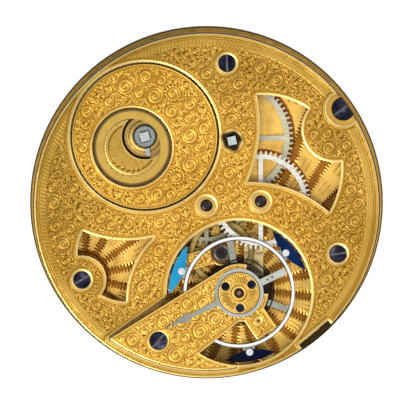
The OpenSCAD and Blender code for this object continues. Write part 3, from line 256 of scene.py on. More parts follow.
def gilt(name, light, deep, cut_and_shade_colour, rough, wear_and_highlight_colour=(1.0, 0.79, 0.36), rim=(1, 1, 1), shaded_hem=None):
    """Mercury gilding: olive towards the barrel, brown in the cuts, bright on edges as wear and painted
    highlight, and black in painted shade and dirt.

    rim is a painted shade that tints it away from the middle of the part. Between the two radii of the last
    argument, in millimetres, it turns black as painted shade at the outer edge."""
    material, tree, shader = new_material(name)
    shader.inputs["Metallic"].default_value = 1.0
    tone = ramp(tree, noise(tree, 170, 4), [(0.35, deep), (0.65, light)])
    spots = ramp(tree, noise(tree, 2600, 2), [(0.3, (0.8, 0.74, 0.62)), (0.55, (1, 1, 1))])
    tone = mix(tree, 0.45, tone, spots, "MULTIPLY")
    # darker and more olive towards the upper left
    toward_upper_left = remap(tree, along(tree, (-0.8, 0.6, 0)), 0, 1, 0.004, 0.026)
    tone = mix(tree, 1.0, tone, ramp(tree, toward_upper_left, [(0, (1, 1, 1)), (1, (0.78, 0.82, 0.8))]), "MULTIPLY")
    # painted shade: the rim argument darkens the part away from its middle
    outward = remap(tree, radius(tree, (0, 0)), 0, 1, 0.008, 0.018)
    tone = mix(tree, 1.0, tone, ramp(tree, outward, [(0, (1, 1, 1)), (1, rim)]), "MULTIPLY")
    # brown in the cuts, and in the painted shade that a pattern lays into the same attribute
    cut = attribute(tree, "cut")
    shade = ramp(tree, cut, [(0.0, (1, 1, 1)), (0.4, (0.77, 0.635, 0.41)), (1.0, cut_and_shade_colour)])
    tone = mix(tree, 1.0, tone, shade, "MULTIPLY")
    # edges turn pale, as wear and painted highlight
    tone = mix(tree, attribute(tree, "edge"), tone, wear_and_highlight_colour)
    # painted shade, and dirt, darken the gilding towards black
    tone = mix(tree, attribute(tree, "shade_and_dirt"), tone, SHADE_AND_DIRT_BLACK)
    # painted shade: black at the outer edge, between the radii of the last argument
    if shaded_hem:
        black = remap(tree, radius(tree, (0, 0)), 0, 0.92, shaded_hem[0] * MM, shaded_hem[1] * MM)
        tone = mix(tree, black, tone, SHADE_AND_DIRT_BLACK)
    tree.links.new(tone, shader.inputs["Base Color"])
    tree.links.new(remap(tree, noise(tree, 900), rough - 0.07, rough + 0.1), shader.inputs["Roughness"])
    bump(tree, shader, noise(tree, 9000, 2), 0.25, 0.00001)
    return material


def metal(name, light, dark, rough, grain=(1, 1, 1), scale=700, relief=0.15):
    """Worked metal: two tones through a grain that can be stretched along one axis."""
    material, tree, shader = new_material(name)
    shader.inputs["Metallic"].default_value = 1.0
    streak = noise(tree, scale, 4, grain)
    tree.links.new(ramp(tree, streak, [(0.3, dark), (0.65, light)]), shader.inputs["Base Color"])
    tree.links.new(remap(tree, streak, rough - 0.06, rough + 0.08), shader.inputs["Roughness"])
    bump(tree, shader, noise(tree, 6000, 2, grain), relief, 0.000008)
    return material


def banded(name, place, stops, rough):
    """Metal whose tone changes along a distance; stops are pairs of millimetres and colour."""
    material, tree, shader = new_material(name)
    shader.inputs["Metallic"].default_value = 1.0
    first, last = stops[0][0], stops[-1][0]
    share = remap(tree, place(tree), 0, 1, first * MM, last * MM)
    tone = ramp(tree, share, [((d - first) / (last - first), colour) for d, colour in stops])
    grain = ramp(tree, noise(tree, 900, 3), [(0.3, (0.86, 0.86, 0.86)), (0.6, (1, 1, 1))])
    tree.links.new(mix(tree, 1.0, tone, grain, "MULTIPLY"), shader.inputs["Base Color"])
    tree.links.new(remap(tree, noise(tree, 1200), rough - 0.06, rough + 0.08), shader.inputs["Roughness"])
    bump(tree, shader, noise(tree, 6000, 2), 0.1, 0.000006)
    return material


def screw_steel(name, level):
    """Blued screws whose heads end at one level: near-black heads with patches of painted grey sheen, and a
    paler slot floor as a painted reflection.
    """
    material, tree, shader = new_material(name)
    shader.inputs["Metallic"].default_value = 1.0
    head = ramp(tree, noise(tree, 520, 3), [(0.35, (0.008, 0.008, 0.014)), (0.55, (0.03, 0.028, 0.05)),
                                            (0.7, (0.15, 0.145, 0.18))])
    slot = remap(tree, up(tree), 1, 0, (level - 0.16) * MM, (level - 0.1) * MM)
    # the slot floor, paler as a painted reflection
    floor = ramp(tree, noise(tree, 2000, 3), [(0.3, (0.07, 0.07, 0.085)), (0.7, (0.18, 0.18, 0.2))])
    tree.links.new(mix(tree, slot, head, floor), shader.inputs["Base Color"])
    tree.links.new(remap(tree, noise(tree, 1500), 0.18, 0.32), shader.inputs["Roughness"])
    bump(tree, shader, noise(tree, 6000, 2), 0.1, 0.000006)
    return material


def blued_wings(name):
    """Blued steel, coloured by its place across the balance: sky blue as a painted reflection on the left
    wing, near black as painted shade on the lower wing, and deep blue on the right.
    """
    material, tree, shader = new_material(name)
    shader.inputs["Metallic"].default_value = 1.0
    reach = 9 * MM
    painted_light_share = remap(tree, across(tree), 0, 1, BALANCE[0] * MM - reach, BALANCE[0] * MM + reach)
    tone = ramp(tree, painted_light_share, [
        (0.0, (0.03, 0.38, 0.64)), (0.18, (0.025, 0.31, 0.56)), (0.32, (0.006, 0.008, 0.016)),
        (0.72, (0.006, 0.010, 0.03)), (0.9, (0.008, 0.03, 0.11)), (1.0, (0.006, 0.012, 0.04))])
    patch = ramp(tree, noise(tree, 900, 3), [(0.3, (0.6, 0.7, 0.85)), (0.7, (1, 1, 1))])
    tree.links.new(mix(tree, 0.7, tone, patch, "MULTIPLY"), shader.inputs["Base Color"])
    tree.links.new(remap(tree, noise(tree, 1500), 0.14, 0.28), shader.inputs["Roughness"])
    bump(tree, shader, noise(tree, 5000, 2), 0.1, 0.000005)
    return material


def stone(name, colour, deep):
    """Polished garnet or ruby jewel."""
    material, tree, shader = new_material(name)
    tone = ramp(tree, noise(tree, 1400, 3), [(0.35, deep), (0.7, colour)])
    tree.links.new(tone, shader.inputs["Base Color"])
    shader.inputs["Roughness"].default_value = 0.24
    shader.inputs["IOR"].default_value = 1.4
    return material


GOLD_CUT = (0.13, 0.058, 0.018)
GOLD = gilt("gilt", (0.79, 0.485, 0.095), (0.64, 0.37, 0.061), GOLD_CUT, 0.4)
# The top plate's gilding, darker away from its middle as painted shade
PLATE_GOLD = gilt("plate_gilt", (0.765, 0.47, 0.096), (0.62, 0.362, 0.064), GOLD_CUT, 0.4,
                  rim=(0.74, 0.75, 0.76))
COCK_GOLD = gilt("cock_gilt", (0.78, 0.505, 0.115), (0.685, 0.425, 0.085), (0.17, 0.085, 0.025), 0.38)
# The lower plate's gilding: paler than the top plate's, as painted light deep in the windows, and black at
# its outer edge as painted shade
RAY_GOLD = gilt("ray_gilt", (1.0, 0.63, 0.155), (0.94, 0.56, 0.12), (0.20, 0.06, 0.015), 0.3,
                (0.95, 0.7, 0.26), shaded_hem=(22.76, 22.9))
PALE_GOLD = gilt("crescent_gilt", (0.61, 0.39, 0.088), (0.53, 0.335, 0.07), GOLD_CUT, 0.38,
                 (0.78, 0.59, 0.24))
BRASS = metal("plain_brass", (0.53, 0.36, 0.085), (0.43, 0.285, 0.062), 0.42, scale=500)
BRONZE = metal("brown_bronze", (0.13, 0.075, 0.03), (0.07, 0.035, 0.014), 0.4, scale=900)
PALE_BRASS = metal("pale_brass", (0.86, 0.68, 0.32), (0.68, 0.50, 0.2), 0.26, scale=900)
# A darker copy of the train's steel, as painted shade on the fourth wheel
SHADED_STEEL = metal("shaded_steel", (0.40, 0.37, 0.25), (0.26, 0.24, 0.16), 0.3, (1, 6, 1), 900)
TRAIN_STEEL = metal("train_steel", (0.66, 0.62, 0.44), (0.48, 0.45, 0.31), 0.3, (1, 6, 1), 900)
BRIGHT_STEEL = metal("bright_steel", (0.82, 0.81, 0.72), (0.66, 0.65, 0.56), 0.26, (1, 6, 1), 900)
BUSH_BRASS = metal("bush_brass", (0.60, 0.39, 0.11), (0.48, 0.30, 0.075), 0.38, scale=700)
WHITE_STEEL = metal("polished_steel", (0.78, 0.78, 0.77), (0.60, 0.60, 0.60), 0.24, scale=900, relief=0.06)
GREY_STEEL = metal("grey_steel", (0.36, 0.39, 0.40), (0.24, 0.26, 0.27), 0.36, (1, 5, 1), 900)
LEVER_STEEL = banded("regulator_steel", across, [
    (BALANCE[0] - 9, (0.26, 0.27, 0.22)), (BALANCE[0] - 3, (0.34, 0.35, 0.3)),
    (BALANCE[0] - 1.5, (0.46, 0.46, 0.41)), (BALANCE[0] + 2, (0.44, 0.44, 0.39)),
    (BALANCE[0] + 5, (0.52, 0.53, 0.48))], 0.36)
SHADE = metal("recess_shade", (0.014, 0.010, 0.006), (0.008, 0.006, 0.004), 0.5)
SQUARE_STEEL = metal("square_steel", (0.56, 0.59, 0.57), (0.42, 0.45, 0.44), 0.3, (1, 4, 1), 900)
# A white rim between dark bands; the dark bands at its edges are painted shade
BALANCE_STEEL = banded("balance_steel", about(BALANCE), [
    (6.0, (0.36, 0.36, 0.30)), (6.72, (0.4, 0.4, 0.34)), (6.75, (0.02, 0.02, 0.015)),
    (6.84, (0.03, 0.03, 0.025)), (6.9, (1, 1, 1)), (7.18, (1, 1, 1)), (7.25, (0.2, 0.2, 0.17)),
    (7.32, (0.16, 0.16, 0.13)), (7.4, (0.4, 0.39, 0.35)), (9.0, (0.4, 0.39, 0.35))], 0.16)
# The near-black band round the collar is painted shade
FINGER_STEEL = banded("finger_steel", about(BARREL), [
    (0.6, (0.17, 0.19, 0.175)), (1.0, (0.28, 0.31, 0.285)), (1.3, (0.22, 0.245, 0.225)),
    (1.4, (0.03, 0.032, 0.03)), (1.56, (0.03, 0.032, 0.03)), (1.66, (0.36, 0.39, 0.36)),
    (3.2, (0.38, 0.41, 0.38))], 0.36)
# Near black below its top, as painted shade in the hole round the square
SETTING_STEEL = banded("setting_steel", up, [
    (SETTING_TOP - 0.5, (0.012, 0.011, 0.01)), (SETTING_TOP - 0.16, (0.02, 0.018, 0.016)),
    (SETTING_TOP - 0.1, (0.52, 0.56, 0.53)), (SETTING_TOP, (0.54, 0.58, 0.55))], 0.3)
# Near black from 6.5 mm up, as painted shade in the top plate's hole
PIPE_STEEL = banded("pipe_steel", up, [
    (4.0, (0.5, 0.47, 0.33)), (6.0, (0.5, 0.47, 0.33)), (6.5, (0.02, 0.018, 0.014)),
    (7.5, (0.02, 0.018, 0.014))], 0.3)
# Dark in its middle, painted as the shade of a small hole
STUD_GOLD = banded("stud_gilt", about(STUD), [
    (0.0, (0.12, 0.07, 0.03)), (0.2, (0.16, 0.09, 0.03)), (0.27, (0.72, 0.46, 0.11)),
    (1.0, (0.8, 0.52, 0.13))], 0.36)
# Near black round the finger's collar, as painted shade, with brown and pale rings beyond
POCKET_BRASS = banded("pocket_brass", about(BARREL), [
    (1.4, (0.03, 0.02, 0.01)), (1.58, (0.12, 0.08, 0.03)), (1.7, (0.56, 0.38, 0.1)),
    (1.98, (0.54, 0.36, 0.09)), (2.08, (0.14, 0.07, 0.025)), (2.18, (0.42, 0.25, 0.07)),
    (2.4, (0.6, 0.40, 0.12)), (2.56, (0.32, 0.18, 0.055)), (3.0, (0.42, 0.27, 0.08))], 0.44)
# Darker towards its outer edge, as painted shade in the recess
RING_BRASS = banded("ring_brass", about(STOP_CENTRE), [
    (3.0, (0.54, 0.35, 0.076)), (4.62, (0.54, 0.35, 0.076)), (4.78, (0.22, 0.14, 0.04)),
    (4.9, (0.13, 0.085, 0.03)), (5.2, (0.1, 0.065, 0.022))], 0.42)
# The two dark bands are painted shade
ESCAPE_BRASS = banded("escape_brass", about(ESCAPE), [
    (0.5, (0.4, 0.28, 0.08)), (3.3, (0.36, 0.25, 0.07)), (3.5, (0.05, 0.035, 0.012)),
    (3.62, (0.46, 0.33, 0.1)), (4.08, (0.44, 0.31, 0.09)), (4.2, (0.05, 0.035, 0.012)),
    (4.34, (0.3, 0.21, 0.06)), (5.6, (0.4, 0.28, 0.08))], 0.4)
PLATE_SCREW = screw_steel("blued_plate_screw", PLATE_TOP)
COCK_SCREW = screw_steel("blued_cock_screw", COCK_TOP)
SMALL_SCREW = screw_steel("blued_small_screw", top("endpiece_screws"))
BRIDGE_SCREW = screw_steel("blued_bridge_screw", BRIDGE_TOP)
DIAL_SCREW = metal("blued_dial_screw", (0.05, 0.055, 0.10), (0.012, 0.012, 0.03), 0.24, scale=1300)
BLUE_SPRING = metal("blued_spring", (0.030, 0.026, 0.03), (0.014, 0.012, 0.016), 0.3)
BLUE_WING = blued_wings("blued_wing")
RUBY = stone("ruby", (0.10, 0.022, 0.03), (0.03, 0.006, 0.01))
# Pale in its middle, as a painted highlight
CAP_STONE = banded("cap_stone", about(BALANCE), [
    (0.0, (0.36, 0.22, 0.2)), (0.2, (0.24, 0.13, 0.11)), (0.34, (0.05, 0.022, 0.016)),
    (0.7, (0.02, 0.01, 0.008))], 0.3)
DARK_STONE = stone("dark_jewel", (0.022, 0.010, 0.008), (0.008, 0.004, 0.003))

FINISH = {
    BUSH_BRASS: ["third_bush", "seconds_bush"],
    RING_BRASS: ["stop_ring"],
    BRASS: ["barrel_drum", "hairspring_collet", "hour_wheel", "minute_wheel"],
    ESCAPE_BRASS: ["escape_wheel"],
    GOLD: ["pillars"],
    PALE_BRASS: ["potence"],
    STUD_GOLD: ["hairspring_stud"],
    BRIGHT_STEEL: ["third_wheel"],
    SHADED_STEEL: ["fourth_wheel"],
    PIPE_STEEL: ["centre_pinion"],
    TRAIN_STEEL: ["centre_wheel", "third_pinion", "seconds_arbor", "driving_pinion", "cannon_pinion",
                  "ratchet_wheel", "click", "lower_endpiece", "balance_staff", "impulse_finger"],
    WHITE_STEEL: ["wing_screws"],
    BALANCE_STEEL: ["balance_wheel"],
    SQUARE_STEEL: ["barrel_arbor"],
    SETTING_STEEL: ["setting_arbor"],
    FINGER_STEEL: ["stop_finger"],
    GREY_STEEL: ["mainspring", "minute_stud"],
    BLUE_SPRING: ["escape_pinion"],
    LEVER_STEEL: ["regulator"],
    PLATE_SCREW: ["plate_screws", "case_screw"],
    COCK_SCREW: ["cock_screw"],
    SMALL_SCREW: ["endpiece_screws"],
    BRIDGE_SCREW: ["escape_bridge_screw"],
    DIAL_SCREW: ["ratchet_screw", "click_screw", "lower_endpiece_screws"],
    RUBY: ["lower_balance_jewel", "cock_jewel", "duplex_roller"],
    CAP_STONE: ["cap_stone"],
    DARK_STONE: ["escape_jewel"],
}

# Edges of the turned and cut pieces are broken by a small bevel, in millimetres
BEVEL = {
    "plate_screws": 0.07, "case_screw": 0.08, "cock_screw": 0.07, "third_bush": 0.06, "seconds_bush": 0.06,
    "balance_wheel": 0.05, "wing_screws": 0.12, "regulator": 0.05, "stop_finger": 0.05,
    "barrel_arbor": 0.05, "setting_arbor": 0.05, "endpiece_screws": 0.03, "cap_stone": 0.1,
    "pillars": 0.05, "centre_wheel": 0.025, "third_wheel": 0.025, "fourth_wheel": 0.025,
    "escape_wheel": 0.015, "potence": 0.08, "stop_ring": 0.03, "hairspring_stud": 0.04,
    "lower_endpiece": 0.05, "ratchet_wheel": 0.03, "click": 0.04, "hour_wheel": 0.02,
    "minute_wheel": 0.02, "cannon_pinion": 0.02, "escape_jewel": 0.04, "barrel_drum": 0.03,
}
BEVEL_ANGLE = math.radians(35)


def dress(name, material):
    """Gives a CAD node its material and breaks its edges."""
    obj = nodes[name]
    obj.data.materials.clear()
    obj.data.materials.append(material)
    weld = obj.modifiers.new("weld", "WELD")
    weld.merge_threshold = WELD
    width = BEVEL.get(name)
    if width:
        edge = obj.modifiers.new("edge", "BEVEL")
        edge.width = width * MM
        edge.segments = 2
        edge.limit_method = "ANGLE"
        edge.angle_limit = BEVEL_ANGLE
        edge.use_clamp_overlap = True
        edge.harden_normals = True


for material, names in FINISH.items():
    for name in names:
        dress(name, material)


# New pieces

def link_piece(name, mesh, material):
    mesh.materials.append(material)
    piece = bpy.data.objects.new(name, mesh)
    scene.collection.objects.link(piece)
    return piece


def welded(node):
    """A working copy of a node's mesh, with its doubled vertices joined."""
    bm = bmesh.new()
    bm.from_mesh(nodes[node].data)
    bmesh.ops.remove_doubles(bm, verts=bm.verts, dist=WELD)
    return bm


def finished(bm, name):
    mesh = bpy.data.meshes.new(name)
    bm.to_mesh(mesh)
    bm.free()
    return mesh


# Engraving: one flat face of a CAD node becomes a fine net that carries the cuts

def at_level(element, level):
    """Whether all of an edge's or a face's vertices lie at a height in millimetres."""
    return all(abs(v.co.z - level * MM) < ON_LEVEL for v in element.verts)


def open_rim(bm, level):
    """Edges at a level that bound one face only."""
    return [e for e in bm.edges if len(e.link_faces) == 1 and at_level(e, level)]


def split_rim(bm, level, length):
    """Splits the open edges at a level into runs no longer than length."""
    for edge in open_rim(bm, level):
        start = edge.verts[0]
        for i in range(int(edge.calc_length() / (length * MM)), 0, -1):
            _, start = bmesh.utils.edge_split(edge, start, 1 / (i + 1))


def inside_rim(points, rim, batch=2000):
    """For each point, whether it lies on the face that the rim bounds, by the even-odd rule."""
    ax, ay, bx, by = rim[:, 0, 0], rim[:, 0, 1], rim[:, 1, 0], rim[:, 1, 1]
    rise = np.where(by == ay, 1, by - ay)
    found = np.zeros(len(points), bool)
    for k in range(0, len(points), batch):
        x, y = points[k:k + batch, :1], points[k:k + batch, 1:]
        hit = ((ay <= y) != (by <= y)) & (ax + (y - ay) * (bx - ax) / rise > x)
        found[k:k + batch] = hit.sum(1) % 2 == 1
    return found


def distance_field(rim, step, reach):
    """Signed distance to the rim on a grid, positive inside, in millimetres, up to reach."""
    low, high = rim.min((0, 1)) - step, rim.max((0, 1)) + step
    xs = np.arange(low[0], high[0] + step, step)
    ys = np.arange(low[1], high[1] + step, step)
    dist = np.full((len(ys), len(xs)), reach)
    for (ax, ay), (bx, by) in rim:
        i0 = max(int((min(ax, bx) - reach - xs[0]) / step), 0)
        i1 = int((max(ax, bx) + reach - xs[0]) / step) + 2
        j0 = max(int((min(ay, by) - reach - ys[0]) / step), 0)
        j1 = int((max(ay, by) + reach - ys[0]) / step) + 2
        x, y = np.meshgrid(xs[i0:i1], ys[j0:j1])
        dx, dy = bx - ax, by - ay
        t = np.clip(((x - ax) * dx + (y - ay) * dy) / (dx * dx + dy * dy), 0, 1)
        near = np.hypot(x - ax - t * dx, y - ay - t * dy)
        np.minimum(dist[j0:j1, i0:i1], near, out=dist[j0:j1, i0:i1])
    ax, ay, bx, by = rim[:, 0, 0], rim[:, 0, 1], rim[:, 1, 0], rim[:, 1, 1]
    inside = np.zeros(dist.shape, bool)
    for j, y in enumerate(ys):
        hit = (ay <= y) != (by <= y)
        cross = np.sort(ax[hit] + (y - ay[hit]) * (bx[hit] - ax[hit]) / (by[hit] - ay[hit]))
        inside[j] = np.searchsorted(cross, xs) % 2 == 1
    return xs, ys, np.where(inside, dist, -dist)


def line(off, half):
    """Depth of a cut whose middle is where off is nought."""
    return np.clip(1 - np.abs(off) / half, 0, 1)


def groove(phase, half):
    """Depth of a cut that repeats once per unit of phase; half is its half width as a share of that."""
    return line(phase - np.round(phase), half)


SCROLL_PITCH = 0.46
FRINGE = 0.36
GROUND = 0.95


def volute(r, angle, radius, hand, turn):
    """A spiral scroll with a bead in its eye and a line round it."""
    spiral = groove(r / SCROLL_PITCH - hand * angle / TURN + turn, 0.25) * (r > 0.2)
    return np.maximum.reduce([0.86 * spiral, 0.6 * line(r - 0.17, 0.09), 0.9 * line(r - radius + 0.06, 0.1)])


def fringe(r, angle, radius, hand):
    """A ring of slanted petals round a scroll."""
    share = (r - radius) / FRINGE
    phase = angle * round(TURN * (radius + FRINGE / 2) / 0.42) / TURN + 0.5 * hand * share
    off = np.abs(phase - np.round(phase))
    return np.where(share > 0.5 + off, GROUND, 0.7 * groove(phase, 0.22))


def leaf(x, y, radius, turn, lobes):
    """A fan of lobes that spring from one point of a circle."""
    u = x * math.cos(turn) + y * math.sin(turn) + radius
    v = y * math.cos(turn) - x * math.sin(turn)
    spread = np.arctan2(v, u) / math.pi
    veins = groove(spread * lobes + 0.5, 0.2)
    share = np.hypot(x, y) / radius
    notch = np.abs(spread * lobes + 0.5 - np.round(spread * lobes + 0.5))
    return np.where(share > 0.76 + 0.5 * notch, GROUND, 0.85 * veins)


def ornament(x, y, radius, pick):
    """Darkness of one ornament that fills a circle, chosen by its size."""
    r, angle = np.hypot(x, y), np.arctan2(y, x)
    hand, turn = pick.choice((-1, 1)), pick.random()
    if radius > 0.6:
        core = radius - FRINGE if radius > 1 and pick.random() < 0.45 else radius
        return np.where(r < core, volute(r, angle, core, hand, turn), fringe(r, angle, core, hand))
    if radius > 0.2:
        return leaf(x, y, radius, turn * TURN, pick.choice((3, 4, 5)))
    return 0.8 * np.clip(r / radius, 0, 1) ** 3


def scrollwork(seed, border, sizes, hatch=None):
    """Packed scrolls and leaves on a flat ground with dark specks, inside a plain border with a line on it.

    hatch is the inner and outer radius of a ring about the middle of the part, with short strokes round its
    upper left."""
    def pattern(xs, ys, dist):
        pick = random.Random(seed)
        step = xs[1] - xs[0]
        free = dist - border
        grain = np.random.default_rng(seed).random(dist.shape)
        tone = np.where(grain > 0.86, 1.0, 0.5 * grain)
        tone[dist < border] = 0
        ground = np.where(dist < border, 0, 0.4)
        rule = line(dist - border + 0.1, 0.1) * (dist > 0)
        tone, cut = np.maximum(tone, 0.8 * rule), np.maximum(ground, rule)
        if hatch:
            x, y = np.meshgrid(xs, ys)
            r, angle = np.hypot(x, y), np.arctan2(y, x)
            strokes = groove(angle * round(hatch[1] / 0.075) / TURN + 0.6 * r, 0.34) * (r < hatch[1])
            strokes *= np.clip(6 * (np.cos(angle - math.radians(140)) - 0.3), 0, 1)
            ring = (r > hatch[0]) & (dist > border)
            strokes = np.maximum(strokes * grain ** 0.5, line(r - hatch[1] - 0.16, 0.1))
            tone, cut = np.where(ring, 0.7 * strokes, tone), np.where(ring, 0.5 * strokes, cut)
            free = np.minimum(free, hatch[0] - r)
        for radius, share in sizes:
            area = share * np.count_nonzero(dist > border) * step * step
            for _ in range(int(area / (math.pi * radius * radius)) + 1):
                spots = np.flatnonzero(free >= radius)
                if not len(spots):
                    break
                j, i = divmod(int(spots[pick.randrange(len(spots))]), len(xs))
                reach = int((2.2 * radius + 1.0) / step) + 2
                j0, i0 = max(j - reach, 0), max(i - reach, 0)
                x, y = np.meshgrid(xs[i0:i + reach] - xs[i], ys[j0:j + reach] - ys[j])
                r = np.hypot(x, y)
                window = (slice(j0, j + reach), slice(i0, i + reach))
                lines = ornament(x, y, radius, pick)
                tone[window] = np.where(r < radius, lines, tone[window])
                cut[window] = np.where(r < radius, lines, cut[window])
                free[window] = np.minimum(free[window], r - radius - 0.02)
        return cut, tone
    return pattern


# Rows of points that shape a bevel, as shares of its width
BEVEL_ROWS = (0.3, 0.65, 1.0)
# In millimetres: the longest run of rim between two points, and how far from it distance is measured
RIM_RUN = 0.2
FIELD_REACH = 1.6
# Paler edges, as wear and painted highlight, on a bevel and on the rim itself
BEVEL_WEAR_AND_HIGHLIGHT, RIM_WEAR_AND_HIGHLIGHT = 0.6, 0.3


def bevel_points(rim, grid, step, edge):
    """Points in rows along the rim, each with its cut, its tone and its distance from the rim."""
    xs, ys, dist, cut, tone = grid
    run = rim[:, 1] - rim[:, 0]
    normal = np.stack([-run[:, 1], run[:, 0]], 1) / np.linalg.norm(run, axis=1)[:, None]
    found = []
    for share in BEVEL_ROWS:
        for side in (-1, 1):
            spot = rim.mean(1) + normal * side * share * edge
            i = np.clip(np.round((spot[:, 0] - xs[0]) / step).astype(int), 0, len(xs) - 1)
            j = np.clip(np.round((spot[:, 1] - ys[0]) / step).astype(int), 0, len(ys) - 1)
            good = (np.abs(dist[j, i]) > share * edge - 0.6 * step) & inside_rim(spot, rim)
            near = zip(spot[good], cut[j, i][good], tone[j, i][good])
            found += [(a, b, c, t, share * edge) for (a, b), c, t in near]
    return found


def fill_face(bm, triangles, on_rim, rim):
    """Adds the net's triangles, facing up, apart from those that span a hole in the face."""
    spanning = [t for t in triangles if all(v in on_rim for v in t)]
    middles = np.array([[sum(v.co[k] for v in t) / (3 * MM) for k in (0, 1)] for t in spanning])
    solid = inside_rim(middles.reshape(-1, 2), rim)
    holes = {tuple(t) for t, filled in zip(spanning, solid) if not filled}
    for corners in triangles:
        if len(set(corners)) == 3 and tuple(corners) not in holes:
            face = bm.faces.new(corners)
            face.normal_update()
            if face.normal.z < 0:
                face.normal_flip()


def engrave(name, level, pattern, material, body, step=0.075, depth=0.055, edge=0.28, drop=0.06,
            keep=None, shade_and_dirt=None):
    """Copies a node, cuts the pattern into its flat face at that level, and lets the copy stand for it.

    The pattern gives the depth and the darkness of the cuts, and may add painted shade to that darkness. edge
    and drop are the width and the height of the bevel along the rim. keep says where the net is fine. The
    last argument gives the painted shade and the dirt at a point, nought to one."""
    bm = welded(name)
    cut_and_shade_layer = bm.verts.layers.float.new("cut")
    wear_and_highlight_layer = bm.verts.layers.float.new("edge")
    shade_and_dirt_layer = bm.verts.layers.float.new("shade_and_dirt")
    flat = [f for f in bm.faces if at_level(f, level)]
    bmesh.ops.delete(bm, geom=flat, context="FACES")
    for e in bm.edges:
        e.smooth = len(e.link_faces) == 2 and e.calc_face_angle(0) < math.radians(30)
    split_rim(bm, level, RIM_RUN)
    rim_edges = open_rim(bm, level)
    rim_verts = list(dict.fromkeys(v for e in rim_edges for v in e.verts))
    order = {v: i for i, v in enumerate(rim_verts)}
    rim = np.array([[v.co.xy / MM for v in e.verts] for e in rim_edges])
    xs, ys, dist = distance_field(rim, step, FIELD_REACH)
    cut, tone = pattern(xs, ys, dist)
    x, y = np.meshgrid(xs, ys)
    use = dist > edge * 1.02
    if keep is not None:
        use &= keep(x, y)
    inner = list(zip(x[use], y[use], cut[use], tone[use], dist[use]))
    inner += bevel_points(rim, (xs, ys, dist, cut, tone), step, edge)
    points = [Vector(v.co.xy / MM) for v in rim_verts] + [Vector(p[:2]) for p in inner]
    edges = [(order[e.verts[0]], order[e.verts[1]]) for e in rim_edges]
    out, _, faces, source, _, _ = delaunay_2d_cdt(points, edges, [], 2, 1e-5)
    made = []
    for co, origin in zip(out, source):
        first = origin[0] if origin else -1
        if 0 <= first < len(rim_verts):
            made.append(rim_verts[first])
            continue
        _, _, c, t, d = inner[first - len(rim_verts)] if first >= 0 else (0, 0, 0.0, 0.0, edge)
        fall = max(1 - d / edge, 0) * drop
        v = bm.verts.new((co.x * MM, co.y * MM, (level - fall - depth * c) * MM))
        v[cut_and_shade_layer] = t
        v[wear_and_highlight_layer] = BEVEL_WEAR_AND_HIGHLIGHT if d < edge else 0.0
        made.append(v)
    for v in rim_verts:
        v.co.z = (level - drop) * MM
        v[wear_and_highlight_layer] = RIM_WEAR_AND_HIGHLIGHT
    if shade_and_dirt:
        for v in bm.verts:
            v[shade_and_dirt_layer] = shade_and_dirt(*(v.co / MM))
    fill_face(bm, [[made[i] for i in f] for f in faces], order, rim)
    for f in bm.faces:
        f.smooth = True
    piece = link_piece(name + "_engraved", finished(bm, name + "_engraved"), material)
    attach(piece, body)
    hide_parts(name)


# Radius of each ornament, largest first, and the share of the face it may fill
SIZES = ((1.75, 0.12), (1.55, 0.16), (1.35, 0.16), (1.15, 0.14), (0.95, 0.1), (0.75, 0.08), (0.55, 0.12),
         (0.42, 0.1), (0.32, 0.08), (0.24, 0.05), (0.16, 0.03))


def crescent_lines(xs, ys, dist):
    """Stop crescent: a line along its outer band, slanted ticks across part of it, faint flecks inside."""
    x, y = np.meshgrid(xs - STOP_CENTRE[0], ys - STOP_CENTRE[1])
    r, angle = np.hypot(x, y), np.degrees(np.arctan2(y, x)) % 360
    band, ticks, first, pitch, slant = 3.06, 6, 222, 13, 0.8
    cut = 0.9 * line(r - band, 0.1)
    for i in range(ticks):
        tick = np.radians(angle - first - pitch * i) * r + slant * (r - band)
        cut = np.maximum(cut, line(tick, 0.13) * (np.abs(r - band) < 0.24) * (dist > 0.26))
    grain = np.random.default_rng(41).random(dist.shape)
    flecks = np.where(r < band - 0.15, 0.6 * (grain > 0.75), 0)
    return cut, np.maximum(cut, flecks)


def hatched_rings(xs, ys, dist):
    """End-piece: short radial strokes round a plain boss, inside a plain rim."""
    x, y = np.meshgrid(xs - BALANCE[0], ys - BALANCE[1])
    r, angle = np.hypot(x, y), np.arctan2(y, x)
    count = 48
    grain = np.random.default_rng(5).random(count)
    length = grain[(np.round(angle * count / TURN) % count).astype(int)]
    strokes = groove(angle * count / TURN, 0.3) * ((r > 1.4 - 0.2 * length) & (r < 2.1 + 0.3 * length))
    lines = np.maximum(line(r - 1.05, 0.08), line(r - 2.5, 0.07))
    cut = np.where(dist > 0.1, np.maximum(strokes, lines), 0)
    return cut, cut


# The three fans of rays part at this x and this y
FAN_SPLIT = -3.5


